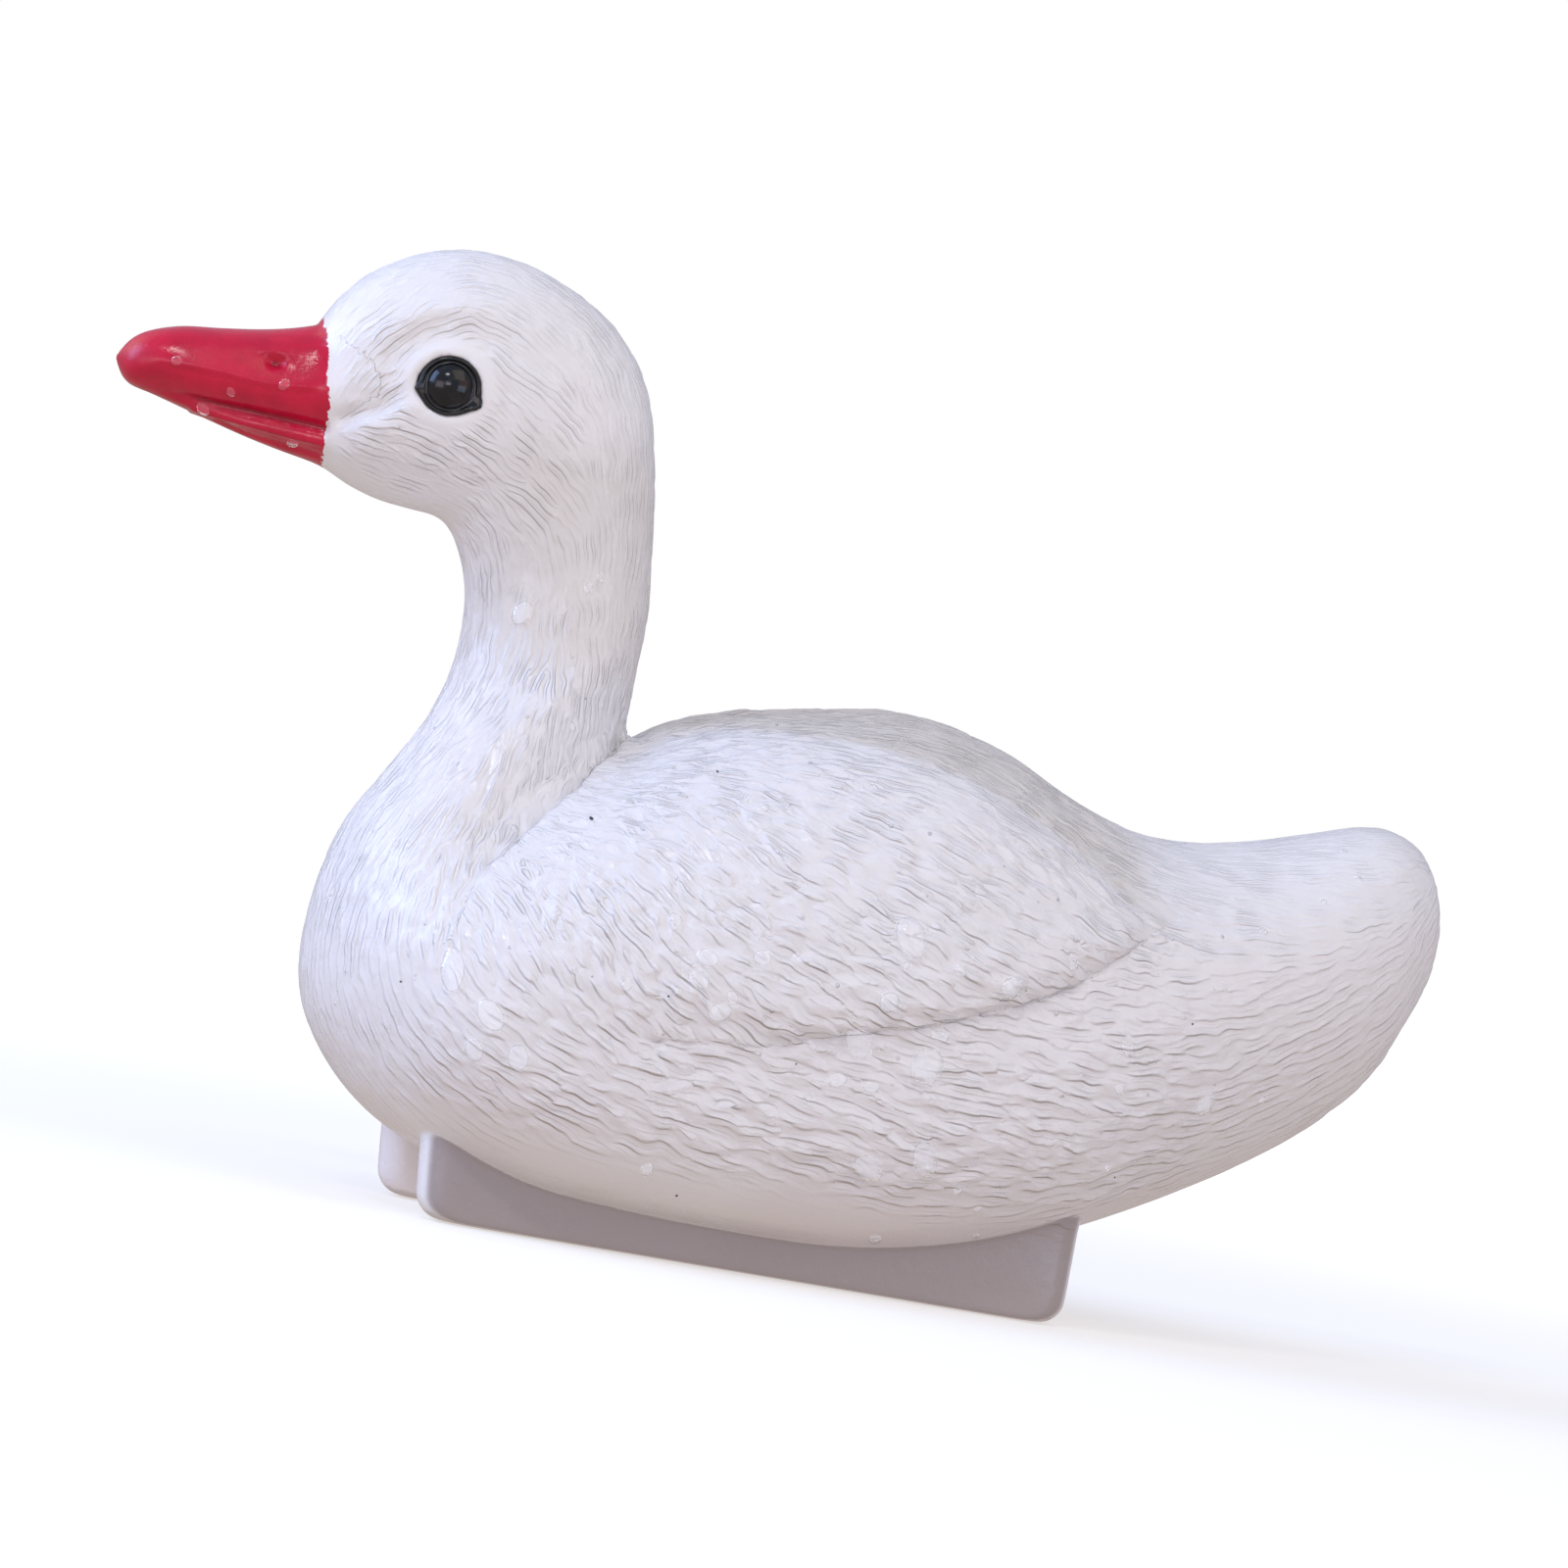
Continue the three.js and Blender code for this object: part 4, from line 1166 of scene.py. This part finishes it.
@dataclass
class InsetEye:
    """A black eye insert: an almond rim with a groove inside it and a round dome."""

    side: Side
    seat: EyeSeat
    finish: EyeFinish
    length: float = 10.3
    height: float = 9.7
    wall: float = 2.5
    dome: float = 7.7
    dome_rings: int = 9
    dome_angle: float = 50.0
    clearance: float = 0.2
    points: int = 72

    # The rim and the groove's outer side from outside in: how far each ring rises, and how it shrinks
    rim: tuple[Point2, ...] = ((0.22, 0.975), (0.10, 0.95), (-0.02, 0.945), (-0.35, 0.955))

    def build(self) -> bpy.types.Object:
        """Makes the insert from a disc, ring by ring: wall, rim, groove and dome.

        Returns:
            The finished piece.
        """
        bpy.ops.object.select_all(action="DESELECT")
        bpy.ops.mesh.primitive_circle_add(vertices=self.points, radius=0.5, fill_type="NGON")
        piece = bpy.context.active_object
        piece.name = f"{self.side.name.lower()}_eye_insert"
        bpy.ops.object.mode_set(mode="EDIT")
        bpy.ops.mesh.select_all(action="SELECT")
        bpy.ops.transform.resize(value=(self.length, self.height, 1), center_override=(0, 0, 0))
        bpy.ops.object.mode_set(mode="OBJECT")
        self._draw_corner(piece, 193, 0.7, 13)
        self._draw_corner(piece, -24, 1.3, 15)
        only(piece)
        bpy.ops.object.mode_set(mode="EDIT")
        bpy.ops.mesh.select_all(action="SELECT")
        self._ring(self.wall, 1.0)
        for up, size in self.rim:
            self._ring(up, size)
        bpy.ops.transform.tosphere(value=0.75)
        self._ring(-0.15, 0.97)
        bpy.ops.transform.tosphere(value=1.0)
        across = self.dome / self._breadth(piece)
        bpy.ops.transform.resize(value=(across, across, 1), center_override=(0, 0, 0))
        radius = self.dome / 2 / math.sin(math.radians(self.dome_angle))
        for k in range(self.dome_rings):
            turn, onward = (math.radians(self.dome_angle * (1 - j / self.dome_rings)) for j in (k, k + 1))
            shrink = math.sin(onward) / math.sin(turn) if k < self.dome_rings - 1 else 0.3
            self._ring((math.cos(onward) - math.cos(turn)) * radius, shrink)
        bpy.ops.mesh.poke()
        bpy.ops.mesh.select_all(action="SELECT")
        bpy.ops.mesh.normals_make_consistent(inside=False)
        bpy.ops.object.mode_set(mode="OBJECT")
        if self.side is Side.RIGHT:
            piece.data.transform(Matrix.Diagonal((-1, 1, 1, 1)))
            piece.data.flip_normals()
        lifted = Matrix.Translation((0, 0, self.clearance))
        piece.data.transform(Matrix.Scale(MM, 4) @ self.seat.matrix() @ lifted)
        apply_modifier(piece, "SUBSURF", levels=1, render_levels=1)
        only(piece)
        bpy.ops.object.shade_smooth()
        piece.data.materials.append(self.finish.material())
        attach(piece, ROOT)
        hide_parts(f"{self.side.name.lower()}_eye")
        LOG.info("%s: %d faces", piece.name, len(piece.data.polygons))
        return piece

    def _ring(self, up: float, size: float) -> None:
        """Extrudes the selected face up, and scales it towards the middle."""
        bpy.ops.mesh.extrude_region_move(TRANSFORM_OT_translate={"value": (0, 0, up)})
        bpy.ops.transform.resize(value=(size, size, 1), center_override=(0, 0, 0))

    def _breadth(self, piece: bpy.types.Object) -> float:
        """How broad the topmost face is."""
        piece.update_from_editmode()
        top = max(piece.data.polygons, key=lambda face: face.select)
        across = [piece.data.vertices[i].co.x for i in top.vertices]
        return max(across) - min(across)

    def _draw_corner(self, piece: bpy.types.Object, degrees: float, pull: float, spread: float) -> None:
        """Pulls the outline out to a corner.

        Args:
            piece: the insert.
            degrees: where the corner is.
            pull: how far it is drawn out.
            spread: how broad it is, in degrees.
        """
        way = Vector((math.cos(math.radians(degrees)), math.sin(math.radians(degrees)), 0))
        for share, reach in ((0.4, 1.0), (0.3, 0.6), (0.3, 0.25)):
            breadth = spread * reach
            push_points(piece, lambda co: math.degrees(co.xy.angle(way.xy, 9)) < breadth, way * pull * share)


@dataclass(frozen=True)
class Drop:
    """A drop of water: its place seen from the side, its breadth and height, in millimetres."""

    x: float
    z: float
    breadth: float
    height: float


@dataclass
class WaterDrops:
    """Clear drops of water on the skin: the ones that are listed, and tiny ones strewn between them."""

    finish: WaterFinish = field(default_factory=WaterFinish)
    seed: int = 4
    tiny_drops: int = 40
    drops: tuple[Drop, ...] = (
        Drop(-53.0, 40.5, 4.6, 7.0), Drop(-46.4, 34.6, 5.3, 4.6), Drop(-41.0, 28.7, 3.7, 4.3),
        Drop(-47.8, 28.7, 3.4, 3.7), Drop(17.1, 58.5, 5.9, 6.6), Drop(12.1, 40.6, 5.6, 5.3),
        Drop(23.8, 38.9, 5.6, 6.3), Drop(26.8, 24.0, 5.0, 5.7), Drop(17.9, 21.0, 5.4, 4.4),
        Drop(-11.4, 41.5, 4.0, 3.1), Drop(-14.9, 49.6, 4.0, 2.8), Drop(-15.7, 46.0, 3.7, 3.1),
        Drop(-6.3, 51.2, 3.1, 2.5), Drop(35.1, 53.5, 4.1, 3.8), Drop(15.0, 47.8, 3.4, 3.4),
        Drop(24.9, 43.8, 3.4, 1.9), Drop(57.9, 47.2, 2.9, 2.2), Drop(9.7, 34.2, 3.4, 2.5),
        Drop(15.4, 34.0, 2.8, 1.9), Drop(75.2, 40.4, 3.6, 4.2), Drop(57.9, 40.5, 2.2, 1.9),
        Drop(-48.1, 99.4, 3.5, 4.2), Drop(-110.6, 129.2, 1.9, 1.6), Drop(-92.9, 128.7, 1.9, 1.9),
        Drop(-101.0, 125.9, 1.6, 1.6), Drop(-9.9, 44.1, 2.2, 2.2), Drop(-20.5, 54.7, 2.2, 1.9),
        Drop(25.8, 54.8, 2.2, 1.9), Drop(45.4, 58.9, 1.9, 1.9), Drop(80.7, 70.2, 1.5, 1.3),
        Drop(-26.6, 43.1, 1.9, 2.2), Drop(-104.6, 122.6, 2.4, 2.0), Drop(-89.3, 119.9, 2.2, 1.9),
        Drop(-38.2, 105.4, 1.6, 1.9), Drop(-36.5, 107.4, 1.5, 1.6), Drop(-16.9, 14.8, 2.2, 2.6),
        Drop(24.3, 9.5, 2.6, 2.4))

    def build(self, skin: bpy.types.Object) -> bpy.types.Object:
        """Lays the drops on the skin and joins them to one piece.

        Args:
            skin: the finished skin.

        Returns:
            The finished piece.
        """
        tree = BVHTree.FromObject(skin, bpy.context.evaluated_depsgraph_get())
        bead = self._bead()
        rng = np.random.default_rng(self.seed)
        pieces = []
        for side, drop in self._all_drops():
            start = Vector((drop.x, side.value * 100, drop.z)) * MM
            hit, normal, _, _ = tree.ray_cast(start, Vector((0, -side.value, 0)))
            if hit is None:
                continue
            normal = self._mean_normal(tree, hit, normal, max(drop.breadth, drop.height) * 0.4)
            down = Vector((0, 0, -1)) + normal * normal.z
            if down.length < 0.2:
                down = Vector((1, 0, 0)) - normal * normal.x
            down.normalize()
            turn = Matrix((down.cross(normal), -down, normal)).transposed().to_4x4()
            thick = min(drop.breadth, drop.height)
            size = Matrix.Diagonal((drop.breadth * MM, drop.height * MM, thick * MM, 1))
            lean = Matrix.Shear("YZ", 4, (rng.uniform(-0.4, 0.4), 0.0))
            twist = Matrix.Rotation(rng.uniform(-0.5, 0.5), 4, "Z")
            piece = bead.copy()
            piece.data = bead.data.copy()
            piece.data.transform(Matrix.Translation(hit) @ turn @ size @ lean @ twist)
            bpy.context.scene.collection.objects.link(piece)
            pieces.append(piece)
        bpy.data.objects.remove(bead)
        only(pieces[0])
        for piece in pieces:
            piece.select_set(True)
        bpy.ops.object.join()
        water = bpy.context.active_object
        water.name = "water_drops"
        bpy.ops.object.shade_smooth()
        water.data.materials.append(self.finish.material())
        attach(water, ROOT)
        LOG.info("water: %d drops", len(pieces))
        return water

    def _mean_normal(self, tree: BVHTree, spot: Vector, normal: Vector, reach: float) -> Vector:
        """The skin's normal over a drop's breadth, without its tufts."""
        total = normal.copy()
        for found in tree.find_nearest_range(spot, reach * MM):
            total += found[1]
        return total.normalized()

    def _bead(self) -> bpy.types.Object:
        """One drop a millimetre across: a ball, flattened where it lies, with its belly hanging low."""
        bpy.ops.object.select_all(action="DESELECT")
        bpy.ops.mesh.primitive_uv_sphere_add(segments=18, ring_count=12, radius=0.5)
        bead = bpy.context.active_object
        bpy.ops.object.mode_set(mode="EDIT")
        bpy.ops.mesh.select_all(action="SELECT")
        bpy.ops.transform.resize(value=(0.96, 1, 0.56), center_override=(0, 0, 0))
        bpy.ops.object.mode_set(mode="OBJECT")
        for high, push in ((0.0, 0.03), (-0.15, 0.03), (-0.3, 0.02)):
            push_points(bead, lambda co: co.y < high and co.z > 0.05, (0, 0, push))
        return bead

    def _all_drops(self) -> list[tuple[Side, Drop]]:
        """The listed drops on the left side, fewer like them on the right, and tiny ones on both."""
        rng = np.random.default_rng(self.seed)
        found = [(Side.LEFT, drop) for drop in self.drops]
        for drop in self.drops[::2]:
            onward, up = rng.uniform(-14, 14, 2)
            moved = Drop(drop.x + onward, drop.z + up * 0.5, drop.breadth, drop.height)
            found.append((Side.RIGHT, moved))
        for _ in range(self.tiny_drops):
            size = rng.uniform(0.9, 1.6)
            x, z = rng.uniform(-66, 104), rng.uniform(12, 96)
            found.append((Side.LEFT if rng.random() < 0.6 else Side.RIGHT, Drop(x, z, size, size)))
        return found


@dataclass(frozen=True)
class SoftLight:
    """A soft rectangular light that looks at the swan, in metres and watts."""

    name: str
    place: tuple[float, float, float]
    size: Point2
    power: float
    colour: Colour


@dataclass
class Studio:
    """A plain pale floor, a soft window light from the swan's front left, and the camera."""

    target: tuple[float, float, float] = (2.832, 0.0, 80.142)
    azimuth: float = 12.0
    elevation: float = -1.5
    distance: float = 900.0
    focal_pixels: float = 5470.4
    frame_pixels: float = 1600.0
    roll: float = 10.406
    sensor: float = 36.0
    aim: tuple[float, float, float] = (0.0, 0.0, 0.07)
    floor_size: float = 60.0
    floor_gap: float = 0.0002
    floor_glow: float = 0.45
    white: Colour = (1.0, 1.0, 1.0)
    above: Colour = (0.44, 0.465, 0.585)
    below: Colour = (0.54, 0.46, 0.41)
    lights: tuple[SoftLight, ...] = (
        SoftLight("window", (-1.15, 0.05, 0.60), (0.75, 0.75), 9.2, (0.38, 0.57, 1.0)),
        SoftLight("front_low", (-0.90, -0.75, 0.15), (0.6, 0.4), 1.6, (1.0, 0.85, 0.90)),
        SoftLight("room", (0.30, -0.70, 1.00), (0.8, 0.8), 2.1, (1.0, 0.92, 0.62)),
        SoftLight("side_low", (0.60, -0.90, 0.12), (0.6, 0.4), 1.6, (0.48, 0.68, 1.0)),
        SoftLight("tail_side", (0.80, -0.90, 0.50), (0.8, 0.8), 1.25, (1.0, 0.50, 0.20)),
        SoftLight("behind", (-0.90, 0.50, 0.80), (0.8, 0.8), 2.2, (1.0, 0.84, 0.52)),
        SoftLight("glint", (-0.55, -0.85, 1.05), (0.26, 0.10), 2.0, (0.95, 0.97, 1.0)),
        SoftLight("front_glint", (-0.42, -1.20, 0.32), (0.42, 0.24), 1.4, (0.92, 0.93, 1.0)))

    def build(self) -> None:
        """Makes the camera, the lights, the world and the floor."""
        self._camera()
        for light in self.lights:
            self._light(light)
        self._world()
        self._floor()
        bpy.context.scene.view_settings.view_transform = "Standard"
        LOG.info("studio: %d lights", len(self.lights))

    def _camera(self) -> None:
        """The camera at the photograph's viewing angle, rolled as it was held."""
        azimuth, elevation, roll = (math.radians(a) for a in (self.azimuth, self.elevation, self.roll))
        forward = Vector((math.sin(azimuth) * math.cos(elevation), math.cos(azimuth) * math.cos(elevation),
                          -math.sin(elevation)))
        level = forward.cross(Vector((0, 0, 1))).normalized()
        upright = level.cross(forward)
        right = level * math.cos(roll) + upright * math.sin(roll)
        up = upright * math.cos(roll) - level * math.sin(roll)
        data = bpy.data.cameras.new("photo_camera")
        data.sensor_fit = "HORIZONTAL"
        data.sensor_width = self.sensor
        data.lens = self.focal_pixels / self.frame_pixels * self.sensor
        data.clip_start, data.clip_end = 0.01, 100.0
        camera = bpy.data.objects.new("photo_camera", data)
        turn = Matrix((right, up, -forward)).transposed().to_4x4()
        camera.matrix_world = Matrix.Translation((Vector(self.target) - forward * self.distance) * MM) @ turn
        bpy.context.scene.collection.objects.link(camera)
        bpy.context.scene.camera = camera

    def _light(self, light: SoftLight) -> None:
        """Adds one light."""
        data = bpy.data.lights.new(light.name, "AREA")
        data.shape = "RECTANGLE"
        data.size, data.size_y = light.size
        data.energy = light.power
        data.color = light.colour
        lamp = bpy.data.objects.new(light.name, data)
        aim = (Vector(self.aim) - Vector(light.place)).to_track_quat("-Z", "Y").to_matrix().to_4x4()
        lamp.matrix_world = Matrix.Translation(light.place) @ aim
        bpy.context.scene.collection.objects.link(lamp)

    def _world(self) -> None:
        """White behind the swan, and a dim light from all round, cool from above and warm from below."""
        world = bpy.data.worlds.new("studio")
        bpy.context.scene.world = world
        g = Graph(world)
        seen = g.node("ShaderNodeLightPath").outputs["Is Camera Ray"]
        high = g.place()[3].ramp(-500, 500)
        colour = g.mix(Value(g, seen), g.mix(high, self.below, self.above), self.white)
        shader = g.node("ShaderNodeBackground", None, {"Color": colour, "Strength": 1.0})
        g.node("ShaderNodeOutputWorld", None, {"Surface": shader.outputs[0]})

    def _floor(self) -> None:
        """A wide pale floor that fades to white far away and doesn't tint the swan."""
        bpy.ops.object.select_all(action="DESELECT")
        bpy.ops.mesh.primitive_plane_add(size=self.floor_size, location=(0, 0, -self.floor_gap))
        floor = bpy.context.active_object
        floor.name = "floor"
        material = bpy.data.materials.new("pale_floor")
        g = Graph(material)
        coordinates, x, y, _ = g.place()
        shade = g.noise(coordinates, 400, 1.0)
        far = ((x * x + y * y) ** 0.5).ramp(150, 1100)
        g.surface({
            "Base Color": g.mix(shade, (0.60, 0.60, 0.60), (0.64, 0.64, 0.64)),
            "Roughness": 0.8,
            "Emission Color": g.mix(far, (self.floor_glow,) * 3, self.white),
            "Emission Strength": 1.0,
        })
        floor.data.materials.append(material)
        floor.visible_diffuse = False
        floor.visible_glossy = False


def main() -> None:
    """Builds the swan's pieces and the studio."""
    logging.basicConfig(level=logging.INFO, format="%(name)s: %(message)s")
    bpy.ops.object.select_all(action="DESELECT")
    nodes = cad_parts
    seats = [EyeSeat.of(nodes["left_eye"]), EyeSeat.of(nodes["right_eye"])]
    skin = SwanSkin().build(nodes["swan_body"], seats)
    finish = EyeFinish()
    for side, seat in zip(Side, seats):
        InsetEye(side, seat, finish).build()
    WaterDrops().build(skin)
    Studio().build()


if __name__ == "__main__":
    main()
